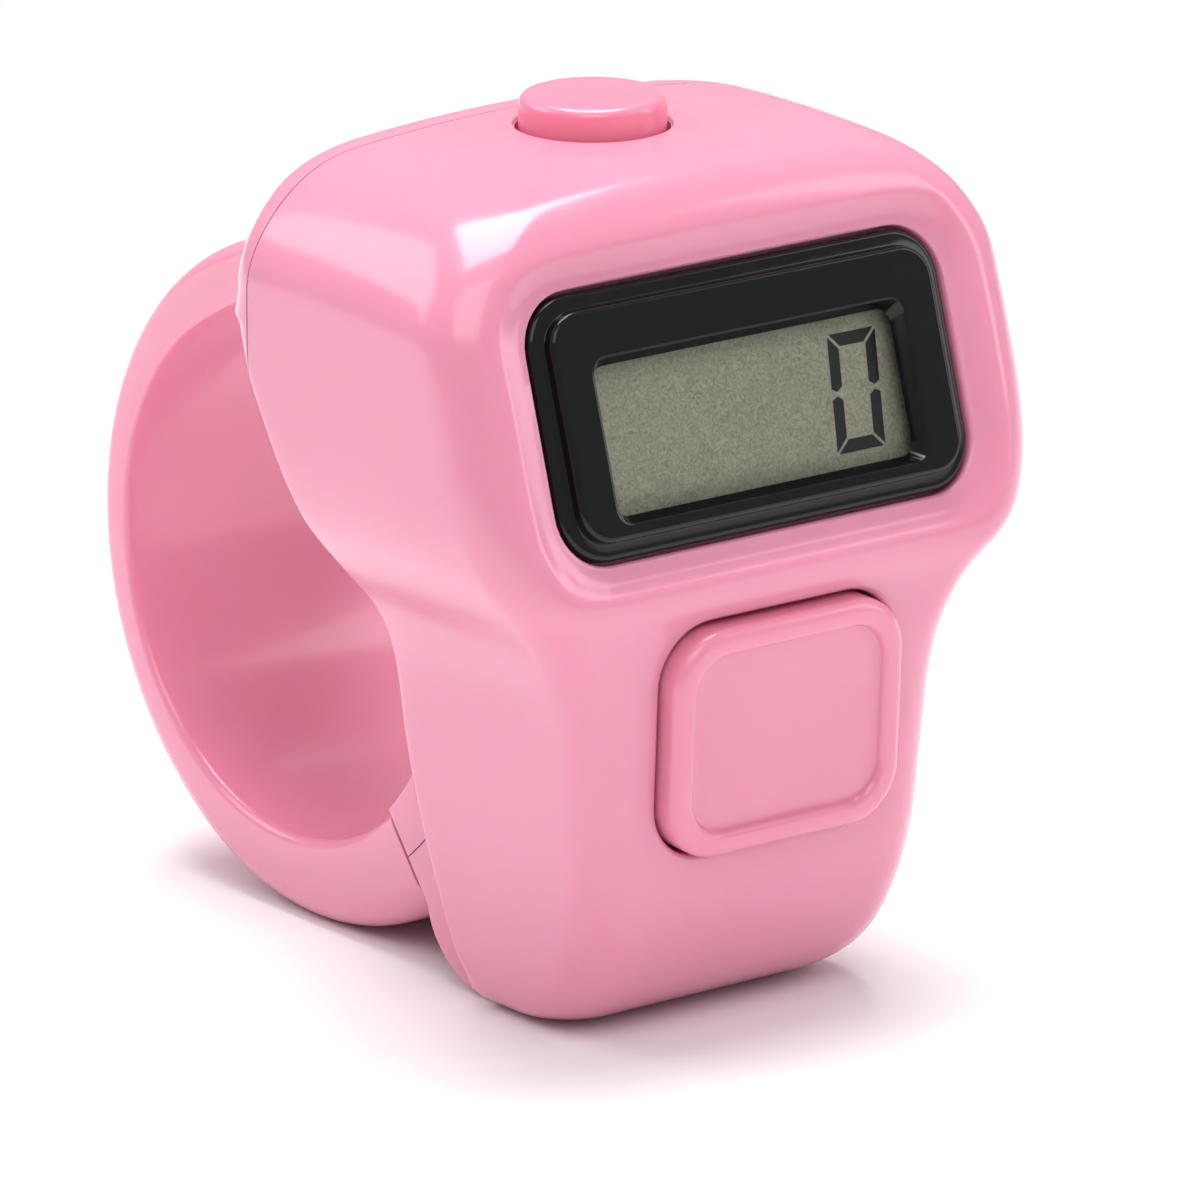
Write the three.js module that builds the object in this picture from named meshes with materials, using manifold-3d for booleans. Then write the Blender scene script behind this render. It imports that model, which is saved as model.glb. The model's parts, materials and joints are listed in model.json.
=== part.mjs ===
// Finger-ring tally counter: a display head on an adjustable ring band.
// Millimetres, +Z up. The finger passes along X, the display faces -Y.
// Side-view curves are written as (f, z): f is forward (-Y), z is up, and f = 0 is the ring's centre.

import * as THREE from 'three';
import { mergeVertices } from 'three/addons/utils/BufferGeometryUtils.js';
import Module from 'manifold-3d';

const wasm = await Module();
wasm.setup();

// Clearances
const SEAM_GAP = 0.1;
const SEAT_GAP = 0.3;
const SLIDE_GAP = 0.15;

// How far cutting shapes reach past the part
const BEYOND = 60;

// Ring band
const RING_RADIUS = 14.2;
const RING_WALL = 3.3;
const BORE_RADIUS = RING_RADIUS - RING_WALL;
const BORE_CENTRE_F = -1.3;
const BORE_CENTRE_Z = RING_RADIUS + 0.1;
const BAND_WIDTH = 12.8;
const JOINT_ANGLE = 52;
const JOINT_GAP = 0.45;
const NECK_RISE = 2.5;
const NECK_TOP = 2 * RING_RADIUS + NECK_RISE;
const NECK_THICKNESS = 2.7;
const NECK_LENGTH = 4.5;
const NECK_STEP_F = -4.6;
const NECK_ROOT_F = -7.5;

// Hinge at the band's front end
const HINGE_DEPTH = 2.3;
const HINGE_INSET = 1.9;
const PIN_RADIUS = 0.5;
const PIN_LENGTH = BAND_WIDTH - 1.4;
const EYE_RADIUS = 1.35;
const TENON_WIDTH = 6;
const TENON_THICKNESS = 2;
const TENON_SWING = 0.3;

// Body outline seen from the front: half-widths of the foot, waist and head
const FOOT_HALF = 6;
const FOOT_CORNER = 2.3;
const SHIN_HALF = 8.05;
const WAIST_HALF = 8.9;
const SHOULDER_HALF = 13.1;
const HEAD_HALF = 14;
const HEAD_RISE = 3.9;
const HEAD_TOP = NECK_TOP + HEAD_RISE;
const HEAD_WIDEST_Z = HEAD_TOP - 9.8;
const SHOULDER_Z = HEAD_TOP - 14.6;
const WAIST_Z = HEAD_TOP - 22.2;
const TOP_CORNER = 5;
const TOP_CROWN = 1.2;
const TOP_DOME = 0.4;
const DOME_REACH = 8;

// Body seen from the side
const FOOT_REAR_F = 13.2;
const FOOT_FRONT_F = 16.2;
const HEAD_REAR_F = 4.9;
const REAR_LIP_Z = NECK_TOP - 3;
const LIP_CHAMFER = 0.45;
const REST_ARC_RADIUS = 20.6;
const REST_ARC_F = 10;
const REST_ARC_Z = RING_RADIUS + 0.3;
const REST_ARC_END_Z = REAR_LIP_Z - 1.9;
const SEAM_LOW_Z = REST_ARC_END_Z - 0.5;
const FRONT_EDGE = 2.4;
const REAR_EDGE = 0.6;
const FLANK_STEP = 0.2;
const FLANK_RADIUS = 30;
const HEAD_REAR_EDGE = 2.2;
const RIM_EDGE = 2;
const SIDE_WALL = 1.4;
const FRONT_WALL = 2;
const COVER_WALL = 1.4;
const SEAM_F = HEAD_REAR_F + 2;
const HINGE_BLOCK_TOP = 8.8;
const HINGE_BLOCK_F = 12;

// Adjusting tongue at the band's rear end
const TONGUE_WIDTH = BAND_WIDTH - 1;
const TONGUE_THICKNESS = 1.6;
const TONGUE_DROP = 1;
const TONGUE_HEIGHT = NECK_TOP - TONGUE_DROP;
const TONGUE_TIP_F = HEAD_REAR_F + 8;
const FORK_GAP = 7.8;
const TOOTH_STEP = 2;
const TOOTH_DEPTH = 0.4;
const TOOTH_COUNT = 6;
const TOOTH_FROM = 82;
const DETENT_F = HEAD_REAR_F + 3.9;
const DETENT_WIDTH = 1.6;
const DETENT_THICKNESS = 0.3;

// Display: the face leans back, and all its depths are measured from the face plane
const DISPLAY_F = 21.6;
const DISPLAY_Z = HEAD_TOP - 8.8;
const DISPLAY_TILT = 17;
const LCD_WIDTH = 18.2;
const LCD_HEIGHT = 8.2;
const LCD_THICKNESS = 1.1;
const LCD_DROP = 0.3;
const BEZEL_WIDTH = LCD_WIDTH + 2.1;
const BEZEL_HEIGHT = LCD_HEIGHT + 2.3;
const BEZEL_CORNER = 2.1;
const BEZEL_DEPTH = 1.2;
const BEZEL_LEDGE = 0.7;
const BEZEL_PROUD = 0.1;
const LEDGE_DEPTH = 0.45;
const WINDOW_WIDTH = LCD_WIDTH - 2.9;
const WINDOW_HEIGHT = LCD_HEIGHT - 1.8;
const WINDOW_CORNER = 0.6;
const WINDOW_DROP = 0.7;
const LENS_THICKNESS = 0.5;
const FOIL_THICKNESS = 0.2;
const FRAME_WALL = 0.6;
const BOARD_THICKNESS = 0.8;
const BOARD_WIDTH = LCD_WIDTH + 1.4;
const BOARD_BELOW = 5.3;
const BOARD_ABOVE = 6.8;
const BOARD_DEPTH = 5.5;
const BOARD_SCREW_X = BOARD_WIDTH / 2 - 1.5;
const BOARD_SCREW_Y = 5.85;
const POST_RADIUS = 1.05;
const POST_HOLE = 0.45;
const ZEBRA_HEIGHT = 1.4;
const BLOB_RADIUS = 2.6;
const BLOB_HEIGHT = 1.3;
const BLOB_X = 3.8 - BOARD_WIDTH / 2;
const CHIP_LENGTH = 1.6;
const CHIP_WIDTH = 0.8;
const CHIP_X = 2 - BOARD_WIDTH / 2;
const RESISTOR_Y = -4;
const CAPACITOR_Y = 3.4;

// Chest, chin and count button
const FACE_LOW_Z = DISPLAY_Z - 6;
const CHEST_Z = FACE_LOW_Z - 3.2;
const CHEST_STEP = 0.45;
const CHIN_Z = CHEST_Z - 8.6;
const COUNT_Z = CHEST_Z - 4;
const COUNT_TILT = -3;
const COUNT_WIDTH = 11.4;
const COUNT_HEIGHT = 9.4;
const COUNT_CORNER = 2.3;
const COUNT_PROUD = 1;
const COUNT_RIM = 1;
const COUNT_DISH = 0.35;
const COUNT_TRAVEL = 0.5;
const COUNT_FLANGE = 0.8;
const COUNT_SWITCH_SIZE = 4.5;
const COUNT_PLUNGER_RADIUS = 1;
const BUTTON_BOARD_DEPTH = 5.5;
const BUTTON_BOARD_WIDTH = COUNT_WIDTH + 0.6;
const BUTTON_BOARD_HEIGHT = COUNT_HEIGHT - 1;
const RAIL_HEIGHT = BUTTON_BOARD_HEIGHT - 2.4;
const RAIL_THICKNESS = 0.6;
const RAIL_HOLD = 0.4;
const CAVITY_FLOOR = COUNT_Z - COUNT_HEIGHT / 2 - 1.5;

// Reset button on the top face
const RESET_F = 11;
const RESET_RADIUS = 2.95;
const RESET_PROUD = 1.15;
const RESET_RECESS = 0.45;
const RESET_TRAVEL = 0.5;
const RESET_FLANGE = 0.6;
const RESET_EDGE = 0.3;
const RESET_SWITCH_SIZE = 3.4;
const RESET_SWITCH_HEIGHT = 1.9;
const RESET_SWITCH_SHIFT = 0.25;
const RESET_PLUNGER_RADIUS = 0.8;

// Button cell
const CELL_RADIUS = 5.8;
const CELL_THICKNESS = 3.05;
const CELL_X = 3.4;
const CELL_DROP = 1;
const CONTACT_THICKNESS = 0.25;
const CONTACT_WIDTH = 5;
const CONTACT_HEIGHT = 7;
const CONTACT_ARM = 3;

// Flexible strip between the boards
const LINK_WIDTH = 2.4;
const LINK_THICKNESS = 0.2;
const LINK_X = -4;

// Screws
const SCREW_RADIUS = 0.7;
const SCREW_HEAD = 1.25;
const SCREW_HEIGHT = 0.8;
const COVER_SCREW_X = HEAD_HALF - 3;
const COVER_SCREW_Z = HEAD_WIDEST_Z - 0.5;
const COVER_SCREW_LENGTH = 5;
const BOSS_RADIUS = 1.35;
const BOSS_LENGTH = COVER_SCREW_LENGTH - 0.6;

const RAD = Math.PI / 180;
const V2 = THREE.Vector2;
const V3 = THREE.Vector3;

// Turns a closed geometry into a solid for joining and cutting
function solid(geometry) {
  const bare = geometry.clone();
  bare.deleteAttribute('normal');
  bare.deleteAttribute('uv');
  const merged = mergeVertices(bare, 1e-4);
  return new wasm.Manifold(new wasm.Mesh({
    numProp: 3,
    vertProperties: new Float32Array(merged.attributes.position.array),
    triVerts: new Uint32Array(merged.index.array),
  }));
}

// Turns a solid back into a geometry
function geometryOf(manifold) {
  const mesh = manifold.getMesh();
  const geometry = new THREE.BufferGeometry();
  geometry.setAttribute('position', new THREE.BufferAttribute(new Float32Array(mesh.vertProperties), 3));
  geometry.setIndex(new THREE.BufferAttribute(new Uint32Array(mesh.triVerts), 1));
  geometry.computeVertexNormals();
  return geometry;
}

function clamp(value, low, high) {
  return Math.min(Math.max(value, low), high);
}

function smooth(value, from, to) {
  const t = clamp((value - from) / (to - from), 0, 1);
  return t * t * (3 - 2 * t);
}

// Reads a curve as a single-valued function: picks the key's coordinate and returns the other one
function readCurve(points, key, wanted) {
  const last = points.length - 1;
  if (key(points[0]) >= wanted) return points[0];
  for (let i = 0; i < last; i += 1) {
    const low = key(points[i]);
    const high = key(points[i + 1]);
    if (wanted <= high) {
      const t = high > low ? (wanted - low) / (high - low) : 0;
      return points[i].clone().lerp(points[i + 1], t);
    }
  }
  return points[last];
}

function densePoints(path) {
  return path.getPoints(24).map((p) => new V2(p.x, p.y));
}

// Points of the ring where the joint plane crosses its outer circle and its bore
const jointOut = new V2(Math.cos(JOINT_ANGLE * RAD), -Math.sin(JOINT_ANGLE * RAD));
const jointInto = new V2(-jointOut.y, jointOut.x);

function onJoint(radius, along = 0) {
  return new V2(0, RING_RADIUS).addScaledVector(jointOut, radius).addScaledVector(jointInto, along);
}

function boreRadiusAtJoint() {
  const dx = -BORE_CENTRE_F;
  const dz = RING_RADIUS - BORE_CENTRE_Z;
  const half = jointOut.x * dx + jointOut.y * dz;
  return -half + Math.sqrt(half * half + BORE_RADIUS * BORE_RADIUS - dx * dx - dz * dz);
}

const jointOuter = onJoint(RING_RADIUS);
const jointInner = onJoint(boreRadiusAtJoint());
const hinge = onJoint(RING_RADIUS - HINGE_DEPTH, HINGE_INSET);
const hingeBlockRadius = Math.hypot(hinge.x, RING_RADIUS - hinge.y);

function restArcF(z) {
  const drop = REST_ARC_Z - z;
  return REST_ARC_F - REST_ARC_RADIUS + Math.sqrt(REST_ARC_RADIUS ** 2 - drop * drop);
}

function boreF(z) {
  const drop = BORE_CENTRE_Z - z;
  return BORE_CENTRE_F + Math.sqrt(BORE_RADIUS ** 2 - drop * drop);
}

// The rear of the two flanks beside the band, from the foot to the middle of the finger hole
function flankF(z) {
  const drop = BORE_CENTRE_Z - z;
  const front = BORE_CENTRE_F + BORE_RADIUS;
  return drop < 0 ? front + drop : front + FLANK_RADIUS - Math.sqrt(FLANK_RADIUS ** 2 - drop * drop);
}

// The finger side of the body, from the foot up to the rear lip
function makeRearPoints() {
  const points = [];
  const heel = new THREE.CubicBezierCurve(
    new V2(FOOT_REAR_F, 0),
    new V2(FOOT_REAR_F - 2.4, 0),
    new V2(jointOuter.x + 0.2, jointOuter.y - 1.6),
    jointOuter,
  );
  points.push(...heel.getPoints(8), jointInner);
  let z = jointInner.y;
  while (z < REST_ARC_END_Z) {
    z += 0.4;
    points.push(new V2(Math.min(boreF(Math.min(z, BORE_CENTRE_Z)), restArcF(z)), z));
  }
  points.push(new V2(HEAD_REAR_F + LIP_CHAMFER, REAR_LIP_Z));
  points.push(new V2(HEAD_REAR_F, REAR_LIP_Z + LIP_CHAMFER));
  points.push(new V2(HEAD_REAR_F, HEAD_TOP + 1));
  return points;
}

// The front of the body, from the foot up the chin, past the count button and up the display face
function displayFaceF(z) {
  return DISPLAY_F - Math.tan(DISPLAY_TILT * RAD) * (z - DISPLAY_Z);
}

const chestF = displayFaceF(FACE_LOW_Z) - CHEST_STEP;

function makeFrontPoints() {
  const lean = Math.tan(COUNT_TILT * RAD);
  const chinF = chestF + lean * (CHEST_Z - CHIN_Z);
  const path = new THREE.Path();
  path.moveTo(FOOT_FRONT_F, 0);
  path.bezierCurveTo(FOOT_FRONT_F + 3.6, 0.1, chinF + lean * 4.2, CHIN_Z - 4.2, chinF, CHIN_Z);
  path.lineTo(chestF, CHEST_Z);
  const bend = (FACE_LOW_Z - CHEST_Z) / 2;
  path.bezierCurveTo(
    chestF - lean * bend,
    CHEST_Z + bend,
    displayFaceF(FACE_LOW_Z - bend),
    FACE_LOW_Z - bend,
    displayFaceF(FACE_LOW_Z),
    FACE_LOW_Z,
  );
  path.lineTo(displayFaceF(HEAD_TOP + 2), HEAD_TOP + 2);
  return densePoints(path);
}

// The half-width of the body against height
function makeWidthPoints() {
  const path = new THREE.Path();
  path.moveTo(FOOT_HALF, 0);
  path.bezierCurveTo(FOOT_HALF + 1.3, 0, SHIN_HALF - 0.25, FOOT_CORNER * 0.45, SHIN_HALF, FOOT_CORNER);
  path.lineTo(WAIST_HALF, WAIST_Z);
  path.bezierCurveTo(
    WAIST_HALF + 0.4,
    WAIST_Z + 4.4,
    SHOULDER_HALF - 1.9,
    SHOULDER_Z - 3.2,
    SHOULDER_HALF,
    SHOULDER_Z,
  );
  path.bezierCurveTo(
    SHOULDER_HALF + 0.6,
    SHOULDER_Z + 1.2,
    HEAD_HALF,
    HEAD_WIDEST_Z - 2,
    HEAD_HALF,
    HEAD_WIDEST_Z,
  );
  path.lineTo(HEAD_HALF, HEAD_TOP - TOP_CORNER);
  path.bezierCurveTo(
    HEAD_HALF,
    HEAD_TOP - TOP_CORNER * 0.45,
    HEAD_HALF - TOP_CORNER * 0.45,
    HEAD_TOP,
    HEAD_HALF - TOP_CORNER,
    HEAD_TOP,
  );
  return densePoints(path);
}

const rearPoints = makeRearPoints();
const frontPoints = makeFrontPoints();
const widthPoints = makeWidthPoints();

function rearF(z) {
  return readCurve(rearPoints, (p) => p.y, z).x;
}

function frontF(z) {
  return readCurve(frontPoints, (p) => p.y, z).x;
}

function halfWidth(z) {
  return readCurve(widthPoints, (p) => p.y, z).x;
}

// Sections bow with the domed top face
function sectionHeight(level, f, x) {
  const share = smooth(level, REST_ARC_END_Z, HEAD_TOP);
  const bow = TOP_CROWN * (x / HEAD_HALF) ** 2 + TOP_DOME * ((f - RESET_F) / DOME_REACH) ** 2;
  return level - share * bow;
}

function atOwnHeight(level, curve) {
  let f = curve(level);
  for (let i = 0; i < 12; i += 1) {
    f = curve(sectionHeight(level, f, 0));
  }
  return f;
}

function rimPull(level, top, radius) {
  const rise = clamp(level - (top - radius), 0, radius);
  return radius - Math.sqrt(radius * radius - rise * rise);
}

// One rounded-rectangle section, counterclockwise seen from above
function sectionLoop(half, front, rear, frontEdge, rearEdge, frontSteps, rearSteps) {
  const loop = [];
  const arc = (cx, cy, radius, from, steps) => {
    for (let i = 0; i <= steps; i += 1) {
      const a = (from + (90 * i) / steps) * RAD;
      loop.push(new V2(cx + radius * Math.cos(a), cy + radius * Math.sin(a)));
    }
  };
  const along = (from, to) => {
    for (const t of [0.25, 0.5, 0.75]) loop.push(from.clone().lerp(to, t));
  };
  const a = half - frontEdge;
  const b = half - rearEdge;
  arc(-a, -front + frontEdge, frontEdge, 180, frontSteps);
  along(new V2(-a, -front), new V2(a, -front));
  arc(a, -front + frontEdge, frontEdge, 270, frontSteps);
  arc(b, -rear - rearEdge, rearEdge, 0, rearSteps);
  along(new V2(b, -rear), new V2(-b, -rear));
  arc(-b, -rear - rearEdge, rearEdge, 90, rearSteps);
  return loop;
}

// Skins a stack of loops, with a centre point closing each end
function loft(loops) {
  const count = loops[0].length;
  const positions = loops.flat().flatMap((p) => [p.x, p.y, p.z]);
  const index = [];
  for (let k = 0; k + 1 < loops.length; k += 1) {
    for (let i = 0; i < count; i += 1) {
      const a = k * count + i;
      const b = k * count + ((i + 1) % count);
      index.push(a, b, b + count, a, b + count, a + count);
    }
  }
  for (const end of [0, loops.length - 1]) {
    const centre = loops[end].reduce((sum, p) => sum.add(p), new V3()).divideScalar(count);
    const hub = positions.length / 3;
    positions.push(centre.x, centre.y, centre.z);
    for (let i = 0; i < count; i += 1) {
      const a = end * count + i;
      const b = end * count + ((i + 1) % count);
      if (end === 0) index.push(hub, b, a);
      else index.push(hub, a, b);
    }
  }
  const geometry = new THREE.BufferGeometry();
  geometry.setAttribute('position', new THREE.Float32BufferAttribute(positions, 3));
  geometry.setIndex(index);
  return geometry;
}

function lift(loop, level) {
  return loop.map((p) => new V3(p.x, p.y, sectionHeight(level, -p.y, p.x)));
}

// Smaller and smaller copies of a stack's last loop, which carry a domed top to its middle
function domed(flatLoop, level) {
  const middle = flatLoop.reduce((sum, p) => sum.add(p), new V2()).divideScalar(flatLoop.length);
  return [0.8, 0.6, 0.4, 0.2].map((share) => lift(flatLoop.map((p) => middle.clone().lerp(p, share)), level));
}

function domedStack(flatLoops, heights) {
  const lifted = flatLoops.map((loop, i) => lift(loop, heights[i]));
  return solid(loft([...lifted, ...domed(flatLoops.at(-1), heights.at(-1))]));
}

// Heights between landmarks: each pair of landmarks is split into its own number of steps
function levels(landmarks, steps, extra = []) {
  const found = [...landmarks, ...extra];
  steps.forEach((count, k) => {
    for (let i = 1; i < count; i += 1) {
      found.push(landmarks[k] + ((landmarks[k + 1] - landmarks[k]) * i) / count);
    }
  });
  found.sort((a, b) => a - b);
  return found.filter((z, i) => i === 0 || z - found[i - 1] > 0.04);
}

// Takes the flank beside the band back to its own rear line
function flankCut() {
  const inner = BAND_WIDTH / 2 + FLANK_STEP;
  const heights = levels([-1, jointOuter.y, BORE_CENTRE_Z], [3, 8], [BORE_CENTRE_Z + 1]);
  const loops = heights.map((level) => {
    const half = Math.max(halfWidth(Math.max(level, 0)), inner + 2 * REAR_EDGE);
    const rear = flankF(level);
    const loop = [new V3(inner, BEYOND, level), new V3(inner, -rear, level)];
    for (const turn of [0, 30, 60, 90]) {
      const x = half - REAR_EDGE * (1 - Math.sin(turn * RAD));
      loop.push(new V3(x, -rear - REAR_EDGE * (1 - Math.cos(turn * RAD)), level));
    }
    loop.push(new V3(BEYOND, -rear - REAR_EDGE, level), new V3(BEYOND, BEYOND, level));
    return loop;
  });
  return solid(loft(loops));
}

// The body's outer form as one block
function bodyBlock() {
  const low = [0, FOOT_CORNER, CHIN_Z, CHEST_Z, FACE_LOW_Z, HEAD_WIDEST_Z, REST_ARC_END_Z];
  const high = [HEAD_TOP - TOP_CORNER, HEAD_TOP - RIM_EDGE, HEAD_TOP - RIM_EDGE / 5, HEAD_TOP];
  const heights = levels(
    [...low, REAR_LIP_Z, REAR_LIP_Z + LIP_CHAMFER, ...high],
    [5, 4, 4, 3, 3, 1, 2, 1, 1, 3, 3, 2],
    [jointOuter.y, jointInner.y],
  );
  const loops = heights.map((level) => {
    const half = halfWidth(level);
    const front = atOwnHeight(level, frontF) - rimPull(level, HEAD_TOP, RIM_EDGE);
    const pull = rimPull(level, HEAD_TOP, HEAD_REAR_EDGE * 0.5);
    const rear = atOwnHeight(level, rearF) + pull;
    const depth = front - rear;
    const headShare = smooth(level, REST_ARC_END_Z - 1, REAR_LIP_Z + 2);
    const rearEdge = REAR_EDGE + (HEAD_REAR_EDGE - REAR_EDGE) * headShare;
    const frontEdge = Math.min(FRONT_EDGE, depth * 0.5);
    return sectionLoop(half, front, rear, frontEdge, Math.min(rearEdge, depth * 0.25), 4, 2);
  });
  const cut = flankCut();
  return domedStack(loops, heights).subtract(cut).subtract(cut.mirror([1, 0, 0]));
}

function cavityHalf(level) {
  const lifted = level + SIDE_WALL * smooth(level, REST_ARC_END_Z, HEAD_TOP - SIDE_WALL);
  return Math.min(halfWidth(level), halfWidth(Math.min(lifted, HEAD_TOP))) - SIDE_WALL;
}

function coverInnerF(level) {
  const slant = 1 + 0.35 * smooth(level, SHOULDER_Z, HEAD_WIDEST_Z);
  return atOwnHeight(level, rearF) + COVER_WALL * slant;
}

// The hollow inside the body
function cavityBlock() {
  const top = HEAD_TOP - SIDE_WALL;
  const heights = levels(
    [CAVITY_FLOOR, HINGE_BLOCK_TOP - 0.1, HINGE_BLOCK_TOP + 0.1, CHEST_Z, REAR_LIP_Z, top],
    [3, 1, 4, 6, 4],
  );
  const loops = heights.map((level) => {
    const block = level < HINGE_BLOCK_TOP ? HINGE_BLOCK_F : 0;
    const rear = Math.max(coverInnerF(level), block, flankF(level) + SIDE_WALL);
    const front = atOwnHeight(level, frontF) - FRONT_WALL - rimPull(level, top, RIM_EDGE * 0.4);
    return sectionLoop(cavityHalf(level), front, rear, 1, 0.5, 2, 1);
  });
  return domedStack(loops, heights);
}

// The space of the finger plate: its outer side runs past the finger side of the body
function platePocket(sideRoom, frontRoom) {
  const low = jointInner.y - 2.1;
  const loops = levels([low, HINGE_BLOCK_TOP, CHEST_Z, REAR_LIP_Z], [5, 4, 7]).map((level) => {
    const drop = RING_RADIUS - level;
    const circle = Math.sqrt(Math.max(hingeBlockRadius ** 2 - drop * drop, 0));
    const plate = rearF(level) + COVER_WALL * 1.6;
    const blend = smooth(level, HINGE_BLOCK_TOP - 0.6, HINGE_BLOCK_TOP + 2);
    const front = circle * (1 - blend) + plate * blend + frontRoom;
    const rear = Math.min(rearF(level), front) - 3;
    const half = halfWidth(level) - SIDE_WALL + sideRoom;
    return sectionLoop(half, front, rear, 0.2, 0.2, 1, 1).map((p) => new V3(p.x, p.y, level));
  });
  return solid(loft(loops));
}

// A side-view shape given width along X, centred on the middle plane
function sideBlock(shape, width, curveSegments = 12) {
  const geometry = new THREE.ExtrudeGeometry(shape, { depth: width, bevelEnabled: false, curveSegments });
  const turn = new THREE.Matrix4().makeBasis(new V3(0, -1, 0), new V3(0, 0, 1), new V3(-1, 0, 0));
  geometry.applyMatrix4(turn);
  geometry.translate(width / 2, 0, 0);
  return geometry;
}

function boxBlock(x0, x1, f0, f1, z0, z1) {
  const geometry = new THREE.BoxGeometry(x1 - x0, f1 - f0, z1 - z0);
  geometry.translate((x0 + x1) / 2, -(f0 + f1) / 2, (z0 + z1) / 2);
  return geometry;
}

function polygon(points) {
  return new THREE.Shape(points.map((p) => new V2(p.x, p.y)));
}

function rodAlongX(centre, radius, length, segments = 20) {
  const geometry = new THREE.CylinderGeometry(radius, radius, length, segments);
  geometry.rotateZ(Math.PI / 2);
  geometry.translate(0, -centre.x, centre.y);
  return geometry;
}

function roundedRect(width, height, radius, dropY = 0) {
  const w = width / 2;
  const h = height / 2;
  const shape = new THREE.Shape();
  shape.moveTo(-w + radius, -h - dropY);
  shape.lineTo(w - radius, -h - dropY);
  shape.absarc(w - radius, -h + radius - dropY, radius, -Math.PI / 2, 0);
  shape.lineTo(w, h - radius - dropY);
  shape.absarc(w - radius, h - radius - dropY, radius, 0, Math.PI / 2);
  shape.lineTo(-w + radius, h - dropY);
  shape.absarc(-w + radius, h - radius - dropY, radius, Math.PI / 2, Math.PI);
  shape.lineTo(-w, -h + radius - dropY);
  shape.absarc(-w + radius, -h + radius - dropY, radius, Math.PI, Math.PI * 1.5);
  return shape;
}

function slab(shape, low, high, curveSegments = 5) {
  const depth = high - low;
  const geometry = new THREE.ExtrudeGeometry(shape, { depth, bevelEnabled: false, curveSegments });
  geometry.translate(0, 0, low);
  return geometry;
}

function disc(radius, low, high, segments = 24, x = 0, y = 0) {
  const geometry = new THREE.CylinderGeometry(radius, radius, high - low, segments);
  geometry.rotateX(Math.PI / 2);
  geometry.translate(x, y, (low + high) / 2);
  return geometry;
}

function localBox(width, height, low, high, x = 0, y = 0) {
  const geometry = new THREE.BoxGeometry(width, height, high - low);
  geometry.translate(x, y, (low + high) / 2);
  return geometry;
}

// Local frames: x along the ring axis, z out of the face
function faceGroup(f, z, lean) {
  const group = new THREE.Group();
  group.position.set(0, -f, z);
  group.rotation.x = (90 - lean) * RAD;
  group.updateMatrixWorld(true);
  return group;
}

const displayGroup = faceGroup(DISPLAY_F, DISPLAY_Z, DISPLAY_TILT);
const countGroup = faceGroup(frontF(COUNT_Z), COUNT_Z, COUNT_TILT);
const resetGroup = faceGroup(RESET_F, HEAD_TOP, 90);

function placed(geometry, group) {
  return solid(geometry.clone().applyMatrix4(group.matrixWorld));
}

function joined(parts) {
  return parts.reduce((whole, part) => whole.add(part));
}

function cutAll(whole, parts) {
  return parts.reduce((rest, part) => rest.subtract(part), whole);
}

// Materials
function plastic(colour, roughness = 0.35) {
  return new THREE.MeshStandardMaterial({ color: colour, roughness, metalness: 0 });
}

function metal(colour, roughness = 0.3) {
  return new THREE.MeshStandardMaterial({ color: colour, roughness, metalness: 1 });
}

const PINK = 0xf19bb3;
const BUTTON_PINK = 0xf294aa;
const RESET_PINK = 0xf99bb0;
const BLACK = 0x121314;
const STEEL = 0xc8c9cc;
const BRASS = 0xc9a867;
const BOARD_GREEN = 0x2f6b3f;
const CLEAR = 0xe8ecec;
const LCD_GREY = 0x8d8f80;
const FOIL_GREY = 0xb9bab4;
const WHITE = 0xe9e9e4;
const RUBBER = 0x4a4642;
const TAN = 0xb59a6a;
const PLUNGER_WHITE = 0xd8d8d2;
const FLEX_AMBER = 0xc98a3a;

const root = new THREE.Group();

function addPiece(name, shape, material, parent = root) {
  const geometry = shape.isBufferGeometry ? shape : geometryOf(shape);
  const mesh = new THREE.Mesh(geometry, material);
  mesh.name = name;
  parent.add(mesh);
  return mesh;
}

// The hinge pocket for the band's tenon
function tenonPocket() {
  const back = HINGE_INSET + 1.4;
  const half = TENON_THICKNESS / 2 + SEAT_GAP;
  const swing = half + TENON_SWING;
  const at = (along, out) => hinge.clone().addScaledVector(jointInto, along).addScaledVector(jointOut, out);
  const shape = polygon([
    at(-back, -half),
    at(0, -half),
    at(0, half),
    at(-HINGE_INSET, swing),
    at(-back, swing),
  ]);
  const width = TENON_WIDTH + 2 * SEAT_GAP;
  return solid(sideBlock(shape, width)).add(solid(rodAlongX(hinge, EYE_RADIUS + SEAT_GAP, width)));
}

function pinBore() {
  return solid(rodAlongX(hinge, PIN_RADIUS + SEAM_GAP, PIN_LENGTH + 2 * SEAT_GAP, 16));
}

// The tongue slides on an arc about the hinge pin
const tongueRadius = Math.hypot(hinge.x - HEAD_REAR_F, TONGUE_HEIGHT - hinge.y);

function aroundHinge(radius, f) {
  const dx = f - hinge.x;
  return new V2(f, hinge.y + Math.sqrt(radius * radius - dx * dx));
}

function arcBetween(radius, fromF, toF, steps) {
  const points = [];
  for (let i = 0; i <= steps; i += 1) {
    points.push(aroundHinge(radius, fromF + ((toF - fromF) * i) / steps));
  }
  return points;
}

function arcStrip(thickness, fromF, toF, steps) {
  const low = arcBetween(tongueRadius - thickness / 2, fromF, toF, steps);
  const high = arcBetween(tongueRadius + thickness / 2, toF, fromF, steps);
  return polygon([...low, ...high]);
}

function tongueSlot() {
  const room = 2 * SLIDE_GAP;
  const strip = arcStrip(TONGUE_THICKNESS + 2 * room, HEAD_REAR_F - 3, SEAM_F + 3, 6);
  return solid(sideBlock(strip, TONGUE_WIDTH + 2 * room));
}

// Screws that hold the rear cover: bosses stand on the shell's side walls
const coverScrewSeatF = restArcF(COVER_SCREW_Z) + 0.9;
const coverPadF = coverScrewSeatF + 1.5;

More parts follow.
